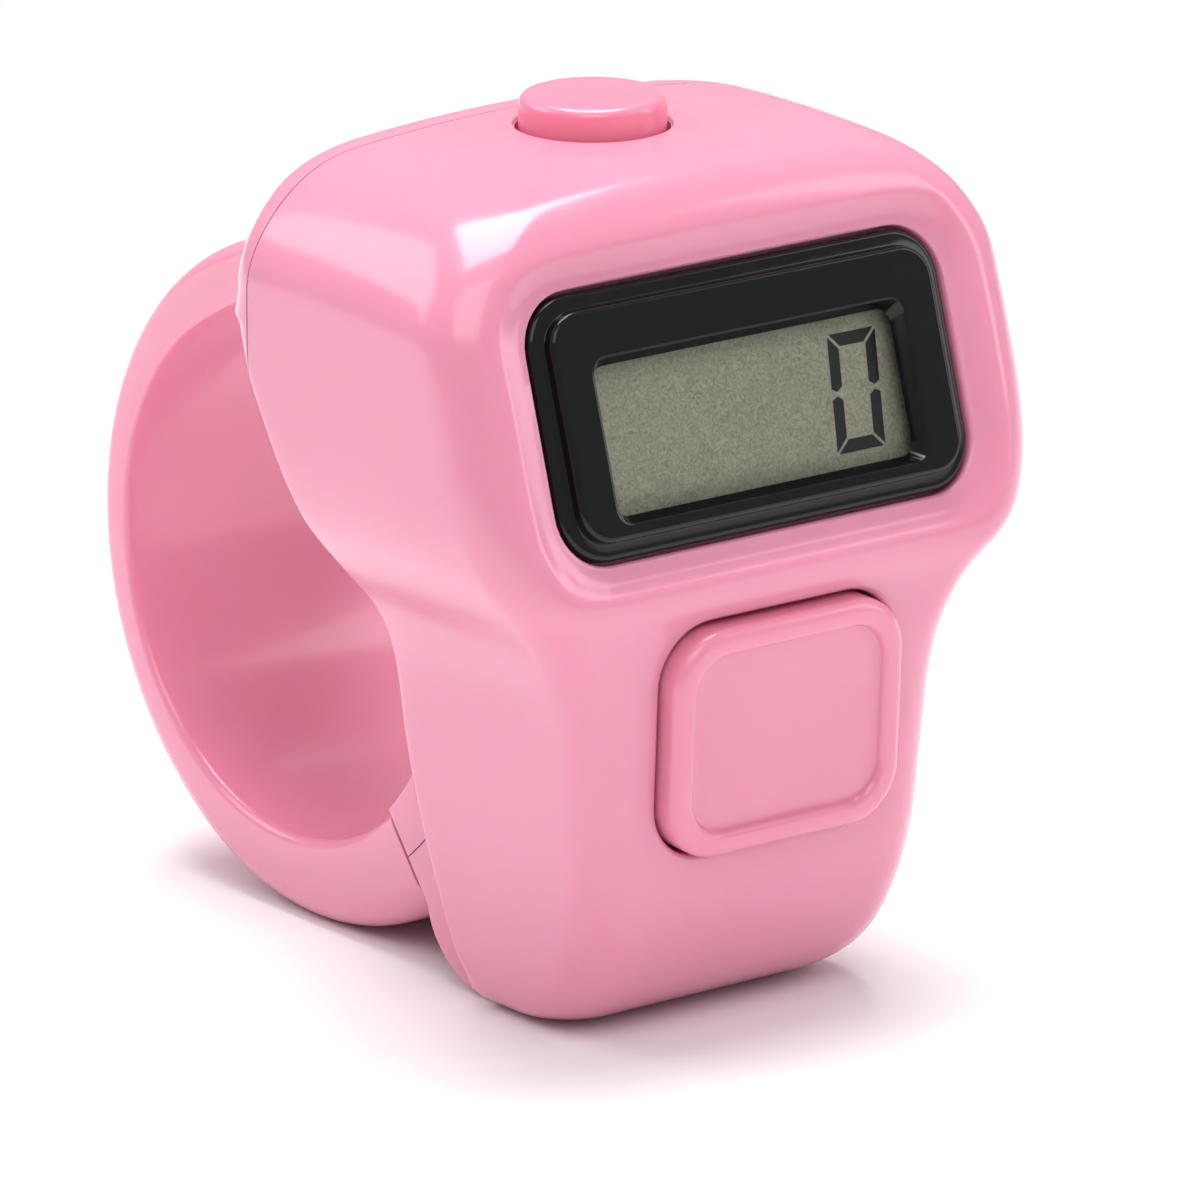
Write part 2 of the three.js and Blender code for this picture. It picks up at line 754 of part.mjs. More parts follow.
function alongF(radius, from, to, x, z, segments = 16) {
  const geometry = new THREE.CylinderGeometry(radius, radius, to - from, segments);
  geometry.translate(x, -(from + to) / 2, z);
  return geometry;
}

function screwStations() {
  return [-1, 1].map((side) => side * COVER_SCREW_X);
}

// Front shell
function makeFrontShell(block, cavity) {
  const inner = block.subtract(cavity);
  const seam = solid(boxBlock(-BEYOND, BEYOND, -BEYOND, SEAM_F + SEAM_GAP, SEAM_LOW_Z, BEYOND));
  const bezelPocket = placed(slab(
    roundedRect(BEZEL_WIDTH + 2 * SLIDE_GAP, BEZEL_HEIGHT + 2 * SLIDE_GAP, BEZEL_CORNER + SLIDE_GAP),
    -BEZEL_DEPTH - SEAT_GAP,
    BEYOND,
  ), displayGroup);
  const inset = 2 * BEZEL_LEDGE;
  const window = placed(slab(
    roundedRect(BEZEL_WIDTH - inset, BEZEL_HEIGHT - inset, BEZEL_LEDGE),
    -BOARD_DEPTH,
    0,
  ), displayGroup);
  const hole = placed(slab(
    roundedRect(COUNT_WIDTH + 2 * SLIDE_GAP, COUNT_HEIGHT + 2 * SLIDE_GAP, COUNT_CORNER + SLIDE_GAP),
    -FRONT_WALL - COUNT_FLANGE,
    BEYOND,
  ), countGroup);
  const resetHole = placed(disc(RESET_RADIUS + SLIDE_GAP, -3, 3, 28), resetGroup);
  const resetDish = placed(disc(RESET_RADIUS + RESET_RECESS, -0.3, 3, 28), resetGroup);
  const bosses = screwStations().map((x) => {
    const from = coverPadF + SEAT_GAP;
    const to = coverPadF + BOSS_LENGTH;
    const wall = Math.sign(x) * (HEAD_HALF - SIDE_WALL / 2);
    const boss = solid(alongF(BOSS_RADIUS, from, to, x, COVER_SCREW_Z));
    const low = COVER_SCREW_Z - BOSS_RADIUS;
    const web = solid(boxBlock(Math.min(x, wall), Math.max(x, wall), from, to, low, low + 2 * BOSS_RADIUS));
    return boss.add(web);
  });
  const pilots = screwStations().map((x) => {
    const end = coverScrewSeatF + COVER_SCREW_LENGTH + 0.5;
    return solid(alongF(SCREW_RADIUS + SEAM_GAP, coverPadF, end, x, COVER_SCREW_Z));
  });
  const boardPosts = [-1, 1].map((side) => placed(
    disc(POST_RADIUS, -BOARD_DEPTH + SEAT_GAP, -FRONT_WALL * 0.6, 12, side * BOARD_SCREW_X, BOARD_SCREW_Y),
    displayGroup,
  ));
  const postHoles = [-1, 1].map((side) => placed(
    disc(POST_HOLE, -BOARD_DEPTH, -FRONT_WALL, 8, side * BOARD_SCREW_X, BOARD_SCREW_Y),
    displayGroup,
  ));
  const railIn = BUTTON_BOARD_WIDTH / 2 - RAIL_HOLD;
  const railOut = halfWidth(COUNT_Z) - SIDE_WALL / 2;
  const railFront = -BUTTON_BOARD_DEPTH - BOARD_THICKNESS - SEAT_GAP;
  const railX = (railIn + railOut) / 2;
  const rails = [-1, 1].map((side) => placed(
    localBox(railOut - railIn, RAIL_HEIGHT, railFront - RAIL_THICKNESS, railFront, side * railX),
    countGroup,
  ));
  const plate = platePocket(SLIDE_GAP, SEAM_GAP);
  const shell = cutAll(inner, [seam, plate, bezelPocket, window, hole, resetDish, resetHole]);
  const full = joined([shell, ...bosses, ...boardPosts, ...rails]);
  return cutAll(full, [...pilots, ...postHoles, tenonPocket(), pinBore()]);
}

// Rear cover: the plate under the finger side, the rear strip of the head and its slot
function makeRearCover(block, cavity) {
  const strip = solid(boxBlock(-BEYOND, BEYOND, -BEYOND, SEAM_F, SEAM_LOW_Z, BEYOND));
  const region = platePocket(0.05, 0).add(strip);
  const plate = block.subtract(cavity).intersect(region);
  const rods = (radius, from, to) => screwStations().map(
    (x) => solid(alongF(radius, from, to, x, COVER_SCREW_Z)),
  );
  const pads = rods(BOSS_RADIUS, coverScrewSeatF + SEAT_GAP, coverPadF);
  const sinks = rods(SCREW_HEAD + SLIDE_GAP, -2, coverScrewSeatF);
  const holes = rods(SCREW_RADIUS + SLIDE_GAP, 0, coverPadF + 1);
  return cutAll(joined([plate, ...pads]), [...sinks, ...holes, tongueSlot(), tenonPocket(), pinBore()]);
}

const block = bodyBlock();
const cavity = cavityBlock();
addPiece('front_shell', makeFrontShell(block, cavity), plastic(PINK));
addPiece('rear_cover', makeRearCover(block, cavity), plastic(PINK));

// Ring band with its tenon, neck, forked tongue and teeth
function bandShape() {
  const shape = new THREE.Shape();
  const start = onJoint(RING_RADIUS, -JOINT_GAP);
  const outerFrom = Math.atan2(start.y - RING_RADIUS, start.x);
  const stepHeight = Math.sqrt(RING_RADIUS ** 2 - NECK_STEP_F ** 2);
  const outerTo = Math.atan2(stepHeight, NECK_STEP_F) - 2 * Math.PI;
  shape.moveTo(start.x, start.y);
  shape.absarc(0, RING_RADIUS, RING_RADIUS, outerFrom, outerTo, true);
  const neckEnd = HEAD_REAR_F - SEAT_GAP;
  const neckBack = neckEnd - NECK_LENGTH;
  shape.bezierCurveTo(
    NECK_STEP_F + 1.1,
    RING_RADIUS * 2 - 0.35,
    neckBack - 0.9,
    NECK_TOP - 1.2,
    neckBack,
    NECK_TOP - 0.6,
  );
  shape.lineTo(neckEnd, NECK_TOP);
  shape.lineTo(neckEnd, NECK_TOP - NECK_THICKNESS);
  const rootRise = Math.sqrt(BORE_RADIUS ** 2 - (NECK_ROOT_F - BORE_CENTRE_F) ** 2);
  const innerEnd = new V2(NECK_ROOT_F, BORE_CENTRE_Z + rootRise);
  shape.bezierCurveTo(
    neckBack + 0.4,
    NECK_TOP - NECK_THICKNESS - 0.9,
    innerEnd.x + 2.6,
    innerEnd.y + 1.8,
    innerEnd.x,
    innerEnd.y,
  );
  const last = onJoint(boreRadiusAtJoint(), -JOINT_GAP);
  const innerFrom = Math.atan2(innerEnd.y - BORE_CENTRE_Z, innerEnd.x - BORE_CENTRE_F) - 2 * Math.PI;
  const innerTo = Math.atan2(last.y - BORE_CENTRE_Z, last.x - BORE_CENTRE_F);
  shape.absarc(BORE_CENTRE_F, BORE_CENTRE_Z, BORE_RADIUS, innerFrom, innerTo, false);
  return shape;
}

function makeBand() {
  const ring = solid(sideBlock(bandShape(), BAND_WIDTH, 40));
  const half = TENON_THICKNESS / 2;
  const at = (along, out) => hinge.clone().addScaledVector(jointInto, along).addScaledVector(jointOut, out);
  const reach = HINGE_INSET + JOINT_GAP + 0.6;
  const web = polygon([at(-reach, -half), at(0, -half), at(0, half), at(-reach, half)]);
  const tenon = solid(sideBlock(web, TENON_WIDTH));
  const eye = solid(rodAlongX(hinge, EYE_RADIUS, TENON_WIDTH));
  const bore = solid(rodAlongX(hinge, PIN_RADIUS + SLIDE_GAP, BAND_WIDTH, 16));
  const tongueStrip = arcStrip(TONGUE_THICKNESS, HEAD_REAR_F - 1.2, TONGUE_TIP_F, 10);
  const tongue = solid(sideBlock(tongueStrip, TONGUE_WIDTH));
  const forkRoot = RESET_F - RESET_RADIUS - RESET_FLANGE;
  const fork = solid(boxBlock(
    -FORK_GAP / 2,
    FORK_GAP / 2,
    forkRoot,
    BEYOND,
    TONGUE_HEIGHT - 2 * TONGUE_THICKNESS,
    BEYOND,
  ));
  const teeth = [];
  for (let i = 0; i < TOOTH_COUNT; i += 1) {
    const angle = TOOTH_FROM + i * TOOTH_STEP;
    const low = tongueRadius - TONGUE_THICKNESS / 2;
    const spot = (radius, turn) => new V2(
      hinge.x + radius * Math.cos((angle + turn) * RAD),
      hinge.y + radius * Math.sin((angle + turn) * RAD),
    );
    const outside = low - TOOTH_DEPTH;
    const notch = polygon([spot(outside, 0), spot(outside, TOOTH_STEP * 0.8), spot(low + TOOTH_DEPTH, 0)]);
    teeth.push(solid(sideBlock(notch, BAND_WIDTH)));
  }
  return cutAll(joined([ring, tenon, eye, tongue]), [bore, fork, ...teeth]);
}

addPiece('ring_band', makeBand(), plastic(PINK));
addPiece('hinge_pin', rodAlongX(hinge, PIN_RADIUS, PIN_LENGTH, 16), metal(STEEL));

// Leaf that clicks into the tongue's teeth, standing on the rear cover
function makeDetentLeaf() {
  const baseZ = REAR_LIP_Z - 2 * DETENT_THICKNESS;
  const tip = aroundHinge(tongueRadius - TONGUE_THICKNESS / 2 - SEAT_GAP, DETENT_F + 1);
  const shape = polygon([
    new V2(DETENT_F, baseZ - DETENT_THICKNESS),
    new V2(DETENT_F + 3, baseZ - DETENT_THICKNESS),
    new V2(DETENT_F + 3.2, baseZ + 0.6),
    new V2(tip.x + 0.5, tip.y),
    new V2(tip.x, tip.y),
    new V2(DETENT_F + 2.7, baseZ + 0.5),
    new V2(DETENT_F + 2.6, baseZ),
    new V2(DETENT_F, baseZ),
  ]);
  const leaf = sideBlock(shape, DETENT_WIDTH);
  leaf.translate(-(FORK_GAP + TONGUE_WIDTH) / 4, 0, 0);
  return leaf;
}

addPiece('detent_spring', makeDetentLeaf(), metal(STEEL));

// Display stack
function makeBezel() {
  const outline = roundedRect(BEZEL_WIDTH, BEZEL_HEIGHT, BEZEL_CORNER);
  const base = solid(slab(outline, -BEZEL_DEPTH, -LEDGE_DEPTH, 6));
  const inset = 2 * BEZEL_LEDGE;
  const raised = roundedRect(BEZEL_WIDTH - inset, BEZEL_HEIGHT - inset, BEZEL_CORNER - BEZEL_LEDGE);
  const plate = solid(slab(raised, -BEZEL_DEPTH, BEZEL_PROUD, 6));
  const window = solid(slab(roundedRect(WINDOW_WIDTH, WINDOW_HEIGHT, WINDOW_CORNER, WINDOW_DROP), -3, 3, 4));
  const rebate = solid(slab(
    roundedRect(WINDOW_WIDTH + 1.6, WINDOW_HEIGHT + 1.6, WINDOW_CORNER, WINDOW_DROP),
    -3,
    -BEZEL_DEPTH + LENS_THICKNESS + SLIDE_GAP,
    4,
  ));
  return cutAll(base.add(plate), [window, rebate]);
}

addPiece('display_bezel', makeBezel(), plastic(BLACK, 0.12), displayGroup);
addPiece('display_lens', slab(
  roundedRect(WINDOW_WIDTH + 1.2, WINDOW_HEIGHT + 1.2, WINDOW_CORNER, WINDOW_DROP),
  -BEZEL_DEPTH,
  -BEZEL_DEPTH + LENS_THICKNESS,
  4,
), plastic(CLEAR, 0.05), displayGroup);

const lcdFront = -BEZEL_DEPTH - SLIDE_GAP;
const frameFront = -FRONT_WALL - SEAT_GAP;
const lcdBack = lcdFront - LCD_THICKNESS;
const foilFront = lcdBack - SEAT_GAP;
const ZEBRA_INSET = ZEBRA_HEIGHT - SEAT_GAP;
const boardFront = -BOARD_DEPTH;
const boardBack = boardFront - BOARD_THICKNESS;
const glass = slab(roundedRect(LCD_WIDTH, LCD_HEIGHT, 0.3, LCD_DROP), lcdBack, lcdFront, 2);
addPiece('lcd_glass', glass, plastic(LCD_GREY, 0.2), displayGroup);
addPiece('lcd_reflector', localBox(
  LCD_WIDTH,
  LCD_HEIGHT - 2 * ZEBRA_INSET,
  foilFront - FOIL_THICKNESS,
  foilFront,
  0,
  ZEBRA_INSET - LCD_DROP,
), metal(FOIL_GREY, 0.5), displayGroup);

function makeLcdFrame() {
  const room = 2 * SLIDE_GAP;
  const outer = solid(slab(roundedRect(
    LCD_WIDTH + room + 2 * FRAME_WALL,
    LCD_HEIGHT + room + 2 * FRAME_WALL,
    0.8,
    LCD_DROP,
  ), boardFront + SEAT_GAP, frameFront, 2));
  const inner = solid(slab(roundedRect(LCD_WIDTH + room, LCD_HEIGHT + room, 0.4, LCD_DROP), -9, 0, 2));
  return outer.subtract(inner);
}

addPiece('lcd_frame', makeLcdFrame(), plastic(WHITE, 0.5), displayGroup);
addPiece('zebra_connector', localBox(
  LCD_WIDTH - 1,
  ZEBRA_HEIGHT,
  boardFront + SEAT_GAP,
  lcdBack - SEAT_GAP,
  0,
  ZEBRA_INSET - LCD_HEIGHT / 2 - LCD_DROP,
), plastic(RUBBER, 0.8), displayGroup);

function makeMainBoard() {
  const height = BOARD_BELOW + BOARD_ABOVE;
  const shape = roundedRect(BOARD_WIDTH, height, 0.8, (BOARD_BELOW - BOARD_ABOVE) / 2);
  const board = solid(slab(shape, boardBack, boardFront, 2));
  const holes = [-1, 1].map((side) => {
    const radius = POST_HOLE + SLIDE_GAP;
    return solid(disc(radius, boardBack - 1, boardFront + 1, 10, side * BOARD_SCREW_X, BOARD_SCREW_Y));
  });
  return cutAll(board, holes);
}

addPiece('main_board', makeMainBoard(), plastic(BOARD_GREEN, 0.45), displayGroup);

function pinScrew(headRadius, headHeight, shankRadius, shankLength) {
  const profile = [
    new V2(0, -shankLength),
    new V2(shankRadius, -shankLength),
    new V2(shankRadius, 0),
    new V2(headRadius, 0),
    new V2(headRadius, headHeight * 0.6),
    new V2(headRadius * 0.6, headHeight),
    new V2(0, headHeight),
  ];
  return new THREE.LatheGeometry(profile, 12);
}

for (const side of [-1, 1]) {
  const screw = pinScrew(1, 0.6, POST_HOLE - SEAM_GAP, 3);
  screw.rotateX(-Math.PI / 2);
  screw.translate(side * BOARD_SCREW_X, BOARD_SCREW_Y, boardBack - SLIDE_GAP);
  const name = side < 0 ? 'board_screw_left' : 'board_screw_right';
  addPiece(name, screw, metal(STEEL), displayGroup);
}

// Parts soldered to the back of the main board
const solderFace = boardBack - SEAT_GAP;
const blobProfile = new THREE.QuadraticBezierCurve(
  new V2(BLOB_RADIUS, 0),
  new V2(BLOB_RADIUS * 0.9, BLOB_HEIGHT * 0.9),
  new V2(0, BLOB_HEIGHT),
).getPoints(5);
const blob = new THREE.LatheGeometry([new V2(0, 0), ...blobProfile], 16);
blob.rotateX(-Math.PI / 2);
blob.translate(BLOB_X, -0.5, solderFace);
addPiece('controller_blob', blob, plastic(BLACK, 0.3), displayGroup);

function addChip(name, height, y, colour) {
  const chip = localBox(CHIP_LENGTH, CHIP_WIDTH, solderFace - height, solderFace, CHIP_X, y);
  addPiece(name, chip, plastic(colour, 0.5), displayGroup);
}

addChip('timing_resistor', 0.5, RESISTOR_Y, BLACK);
addChip('filter_capacitor', 0.7, CAPACITOR_Y, TAN);

// Button cell between two spring contacts
const cellFront = boardBack - 2 * SEAT_GAP - CONTACT_THICKNESS;
const cellBack = cellFront - CELL_THICKNESS;
const cellProfile = [
  new V2(0, 0),
  new V2(CELL_RADIUS - 0.9, 0),
  new V2(CELL_RADIUS - 0.7, 0.35),
  new V2(CELL_RADIUS, 0.6),
  new V2(CELL_RADIUS, CELL_THICKNESS - 0.25),
  new V2(CELL_RADIUS - 0.3, CELL_THICKNESS),
  new V2(0, CELL_THICKNESS),
];
const cell = new THREE.LatheGeometry(cellProfile, 28);
cell.rotateX(Math.PI / 2);
cell.translate(CELL_X, -CELL_DROP, cellBack);
addPiece('battery_cell', cell, metal(STEEL, 0.25), displayGroup);
addPiece('battery_contact_positive', localBox(
  CONTACT_WIDTH,
  CONTACT_HEIGHT,
  cellFront + SLIDE_GAP,
  cellFront + SLIDE_GAP + CONTACT_THICKNESS,
  CELL_X,
  -CELL_DROP,
), metal(BRASS), displayGroup);

// The rear contact is a strip with an arm that runs up past the cell to the board
function makeRearContact() {
  const back = cellBack - SLIDE_GAP - CONTACT_THICKNESS;
  const armY = CELL_RADIUS - CELL_DROP + SEAT_GAP;
  const top = armY + CONTACT_THICKNESS;
  const foot = -CELL_DROP - CELL_RADIUS / 2;
  const front = back + CONTACT_THICKNESS;
  const strip = solid(localBox(CONTACT_ARM, top - foot, back, front, CELL_X, (top + foot) / 2));
  const armMiddle = armY + CONTACT_THICKNESS / 2;
  const arm = solid(localBox(CONTACT_ARM, CONTACT_THICKNESS, back, solderFace, CELL_X, armMiddle));
  return strip.add(arm);
}

addPiece('battery_contact_negative', makeRearContact(), metal(BRASS), displayGroup);

// Count button, its switch and its board
const countFlangeFront = -FRONT_WALL - SEAT_GAP;
const countFlangeBack = countFlangeFront - COUNT_FLANGE;

function makeCountButton() {
  const capShape = roundedRect(COUNT_WIDTH, COUNT_HEIGHT, COUNT_CORNER);
  const cap = solid(slab(capShape, countFlangeBack, COUNT_PROUD, 6));
  const flangeShape = roundedRect(COUNT_WIDTH + 1.2, COUNT_HEIGHT + 1, COUNT_CORNER);
  const flange = solid(slab(flangeShape, countFlangeBack, countFlangeFront, 4));
  const dish = solid(slab(
    roundedRect(COUNT_WIDTH - 2 * COUNT_RIM, COUNT_HEIGHT - 2 * COUNT_RIM, COUNT_CORNER - COUNT_RIM * 0.7),
    COUNT_PROUD - COUNT_DISH,
    COUNT_PROUD + 1,
    5,
  ));
  return cap.add(flange).subtract(dish);
}

addPiece('count_button', makeCountButton(), plastic(BUTTON_PINK), countGroup);

// A tact switch: a square body with a round plunger
function makeSwitchBody(size, low, high, plungerRadius, centreY = 0) {
  const body = solid(localBox(size, size, low, high, 0, centreY));
  return body.subtract(solid(disc(plungerRadius + SLIDE_GAP, low - 1, high + 1, 16)));
}

const countPlungerTop = countFlangeBack - SEAT_GAP;
const countPlungerBottom = -BUTTON_BOARD_DEPTH + COUNT_TRAVEL + SLIDE_GAP;
const countSwitchBack = -BUTTON_BOARD_DEPTH + SEAT_GAP;
addPiece('count_switch_body', makeSwitchBody(
  COUNT_SWITCH_SIZE,
  countSwitchBack,
  countPlungerTop - COUNT_TRAVEL - SEAM_GAP,
  COUNT_PLUNGER_RADIUS,
), plastic(BLACK, 0.5), countGroup);
addPiece('count_switch_plunger', disc(
  COUNT_PLUNGER_RADIUS,
  countPlungerBottom,
  countPlungerTop,
  16,
), plastic(PLUNGER_WHITE, 0.5), countGroup);
addPiece('button_board', slab(
  roundedRect(BUTTON_BOARD_WIDTH, BUTTON_BOARD_HEIGHT, 0.6),
  -BUTTON_BOARD_DEPTH - BOARD_THICKNESS,
  -BUTTON_BOARD_DEPTH,
  2,
), plastic(BOARD_GREEN, 0.45), countGroup);

// Reset button and its switch
const resetFlangeFront = -SIDE_WALL - SEAT_GAP;
const resetFlangeBack = resetFlangeFront - RESET_FLANGE;
const resetFlangeRadius = RESET_RADIUS + RESET_FLANGE;

function makeResetButton() {
  const profile = [
    new V2(0, resetFlangeBack),
    new V2(resetFlangeRadius, resetFlangeBack),
    new V2(resetFlangeRadius, resetFlangeFront),
    new V2(RESET_RADIUS, resetFlangeFront),
    new V2(RESET_RADIUS, RESET_PROUD - RESET_EDGE),
    new V2(RESET_RADIUS - RESET_EDGE * 0.3, RESET_PROUD - RESET_EDGE * 0.3),
    new V2(RESET_RADIUS - RESET_EDGE, RESET_PROUD),
    new V2(0, RESET_PROUD),
  ];
  const geometry = new THREE.LatheGeometry(profile, 28);
  geometry.rotateX(Math.PI / 2);
  return geometry;
}

addPiece('reset_button', makeResetButton(), plastic(RESET_PINK), resetGroup);
const resetPlungerTop = resetFlangeBack - SEAT_GAP;
const resetSwitchBack = resetPlungerTop - RESET_SWITCH_HEIGHT;
const resetPlungerBottom = resetSwitchBack + RESET_TRAVEL + SEAM_GAP;
addPiece('reset_switch_body', makeSwitchBody(
  RESET_SWITCH_SIZE,
  resetSwitchBack,
  resetPlungerTop - RESET_TRAVEL,
  RESET_PLUNGER_RADIUS,
  RESET_SWITCH_SHIFT,
), plastic(BLACK, 0.5), resetGroup);
addPiece('reset_switch_plunger', disc(
  RESET_PLUNGER_RADIUS,
  resetPlungerBottom,
  resetPlungerTop,
  14,
), plastic(PLUNGER_WHITE, 0.5), resetGroup);

// Flat flexible strip that joins the two boards
function makeBoardLink() {
  const high = new V3(0, -BOARD_BELOW + 0.9, boardBack - SEAT_GAP).applyMatrix4(displayGroup.matrixWorld);
  const lowBack = -BUTTON_BOARD_DEPTH - BOARD_THICKNESS - SEAT_GAP;
  const low = new V3(0, BUTTON_BOARD_HEIGHT / 2 - 0.8, lowBack).applyMatrix4(countGroup.matrixWorld);
  const shape = polygon([
    new V2(-high.y, high.z),
    new V2(-high.y - LINK_THICKNESS, high.z),
    new V2(-low.y - LINK_THICKNESS, low.z),
    new V2(-low.y, low.z),
  ]);
  const link = sideBlock(shape, LINK_WIDTH);
  link.translate(LINK_X, 0, 0);
  return link;
}

addPiece('board_link', makeBoardLink(), plastic(FLEX_AMBER, 0.4));

// Cover screws
for (const x of screwStations()) {
  const screw = pinScrew(SCREW_HEAD, SCREW_HEIGHT, SCREW_RADIUS, COVER_SCREW_LENGTH);
  screw.translate(x, -coverScrewSeatF + SEAM_GAP, COVER_SCREW_Z);
  addPiece(x < 0 ? 'cover_screw_left' : 'cover_screw_right', screw, metal(STEEL));
}

root.add(displayGroup, countGroup, resetGroup);
const bounds = new THREE.Box3().setFromObject(root);
root.position.set(0, -(bounds.min.y + bounds.max.y) / 2, -bounds.min.z);

export default root;
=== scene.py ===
"""Looks of the finger tally counter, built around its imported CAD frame.

Lengths are in millimetres until a mesh is made. Side-view places are (f, z): f is forward of the
ring's centre, towards the display, and z is up.
"""

import json
import math

import bmesh
import bpy
import numpy as np
from mathutils import Matrix, Vector


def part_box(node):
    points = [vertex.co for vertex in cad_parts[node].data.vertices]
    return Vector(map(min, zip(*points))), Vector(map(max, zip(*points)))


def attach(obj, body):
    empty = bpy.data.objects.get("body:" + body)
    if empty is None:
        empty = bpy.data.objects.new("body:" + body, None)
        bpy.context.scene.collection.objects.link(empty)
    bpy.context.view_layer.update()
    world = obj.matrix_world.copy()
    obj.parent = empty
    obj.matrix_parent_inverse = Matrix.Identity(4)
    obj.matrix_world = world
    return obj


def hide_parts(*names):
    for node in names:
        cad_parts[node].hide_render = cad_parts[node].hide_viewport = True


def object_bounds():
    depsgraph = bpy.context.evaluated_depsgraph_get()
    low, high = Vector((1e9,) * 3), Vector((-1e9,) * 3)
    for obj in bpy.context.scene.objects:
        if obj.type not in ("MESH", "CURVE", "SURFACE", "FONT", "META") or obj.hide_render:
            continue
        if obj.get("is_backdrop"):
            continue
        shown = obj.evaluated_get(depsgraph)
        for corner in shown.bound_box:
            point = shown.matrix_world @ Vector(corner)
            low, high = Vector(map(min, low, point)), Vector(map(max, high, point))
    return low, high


MM = 0.001

# Clearances, as in the CAD
SEAM_GAP = 0.1
SEAT_GAP = 0.3
SLIDE_GAP = 0.15

# Ring band
RING_RADIUS = 14.2
RING_WALL = 3.3
BORE_RADIUS = RING_RADIUS - RING_WALL
BORE_CENTRE = (-1.3, RING_RADIUS + 0.1)
BAND_WIDTH = 12.8
BAND_OUTER_EDGE = 1.3
BAND_INNER_EDGE = 0.45
JOINT_ANGLE = math.radians(52)
JOINT_GAP = 0.45
NECK_TOP = 2 * RING_RADIUS + 2.5
NECK_THICKNESS = 2.7
NECK_LENGTH = 4.5
NECK_STEP_F = -4.6
NECK_ROOT_F = -7.5

# Hinge and tongue of the band
HINGE_DEPTH = 2.3
HINGE_INSET = 1.9
PIN_RADIUS = 0.5
EYE_RADIUS = 1.35
TENON_WIDTH = 6
TENON_THICKNESS = 2
TENON_SWING = 0.3
TENON_POCKET = HINGE_INSET + 1.4
TONGUE_WIDTH = BAND_WIDTH - 1
TONGUE_THICKNESS = 1.6
TONGUE_HEIGHT = NECK_TOP - 1
FORK_GAP = 7.8
FORK_ROOM = 0.6
PIN_LENGTH = BAND_WIDTH - 1.4

# Body outline from the front
FOOT_HALF = 6
FOOT_CORNER = 2.3
SHIN_HALF = 8.05
WAIST_HALF = 8.9
SHOULDER_HALF = 13.1
HEAD_HALF = 14
HEAD_TOP = NECK_TOP + 3.9
HEAD_WIDEST_Z = HEAD_TOP - 9.8
SHOULDER_Z = HEAD_TOP - 14.6
WAIST_Z = HEAD_TOP - 22.2
TOP_CORNER = 5
TOP_CROWN = 1.2
TOP_DOME = 0.4
DOME_REACH = 8

# Body from the side
FOOT_REAR_F = 13.2
FOOT_FRONT_F = 16.2
HEAD_REAR_F = 4.9
REAR_LIP_Z = NECK_TOP - 3
LIP_CHAMFER = 0.45
REST_ARC_RADIUS = 20.6
REST_ARC_F = 10
REST_ARC_Z = RING_RADIUS + 0.3
REST_ARC_END_Z = REAR_LIP_Z - 1.9
SEAM_LOW_Z = REST_ARC_END_Z - 0.5
FRONT_EDGE = 2.4
REAR_EDGE = 0.6
FLANK_STEP = 0.2
FLANK_RADIUS = 30
HEAD_REAR_EDGE = 2.2
RIM_EDGE = 2
SIDE_WALL = 1.4
FRONT_WALL = 2
COVER_WALL = 1.4
COVER_SLANT = 0.35
CAVITY_FRONT_EDGE = 1
CAVITY_REAR_EDGE = 0.5
CAVITY_TOP_EDGE = 0.8
SEAM_F = HEAD_REAR_F + 2
TONGUE_TIP_F = HEAD_REAR_F + 8
HINGE_BLOCK_TOP = 8.8
HINGE_BLOCK_F = 12

# Plate of the rear cover, between the finger hole and the hollow
PLATE_WALL = 1.6 * COVER_WALL
PLATE_BELOW_JOINT = 2.1
PLATE_SIDE_ROOM = 0.05
PLATE_CORNER = 0.2

# Soft dish that the display sits in
DISH_DEPTH = 0.42
DISH_HALF = 11.3
DISH_LOW = -6.4
DISH_HIGH = 6.3
DISH_CORNER = 3
DISH_SOFT = 1.1
DISH_FULL_ABOVE = -0.35
DISH_NONE_BELOW = -0.9

# Display
DISPLAY_F = 21.6
DISPLAY_Z = HEAD_TOP - 8.8
DISPLAY_TILT = math.radians(17)
LCD_SIZE = (18.2, 8.2)
LCD_CORNER = 0.3
LCD_DROP = 0.3
LCD_THICKNESS = 1.1
LCD_CHAMFER = 0.05
BEZEL_SIZE = (LCD_SIZE[0] + 2.1, LCD_SIZE[1] + 2.3)
BEZEL_CORNER = 2.1
BEZEL_DEPTH = 1.2
BEZEL_LEDGE = 0.7
BEZEL_PROUD = 0.1
BEZEL_CHAMFER = 0.1
BEZEL_EDGE = 0.22
BEZEL_FLAT = 0.06
LEDGE_DEPTH = 0.45
LEDGE_EDGE = 0.25
LCD_FRONT = -BEZEL_DEPTH - SLIDE_GAP
WINDOW_SIZE = (LCD_SIZE[0] - 2.9, LCD_SIZE[1] - 1.8)
WINDOW_CORNER = 0.6
WINDOW_DROP = 0.7
WINDOW_TAPER = 0.25
LENS_THICKNESS = 0.5
LENS_LAP = 0.6
LENS_POCKET = 0.8
LENS_CHAMFER = 0.06
LENS_EDGE = 0.08
BOARD_DEPTH = 5.5

# Soft edges of the bezel: (towards the window, height) pairs
LEDGE_FILLET = ((-0.12, 0), (-0.03, 0.05))
WINDOW_EASE = ((-0.22, 0), (-0.15, 0), (-0.06, -0.03), (0, -0.12))

# Digit on the display, seven-segment style
DIGIT_SIZE = (2.4, 4.7)
DIGIT_CENTRE = (5.75, -0.75)
DIGIT_STROKE = 0.52
DIGIT_SLANT = math.tan(math.radians(6))
DIGIT_GAP = 0.09
DIGIT_RISE = 0.02

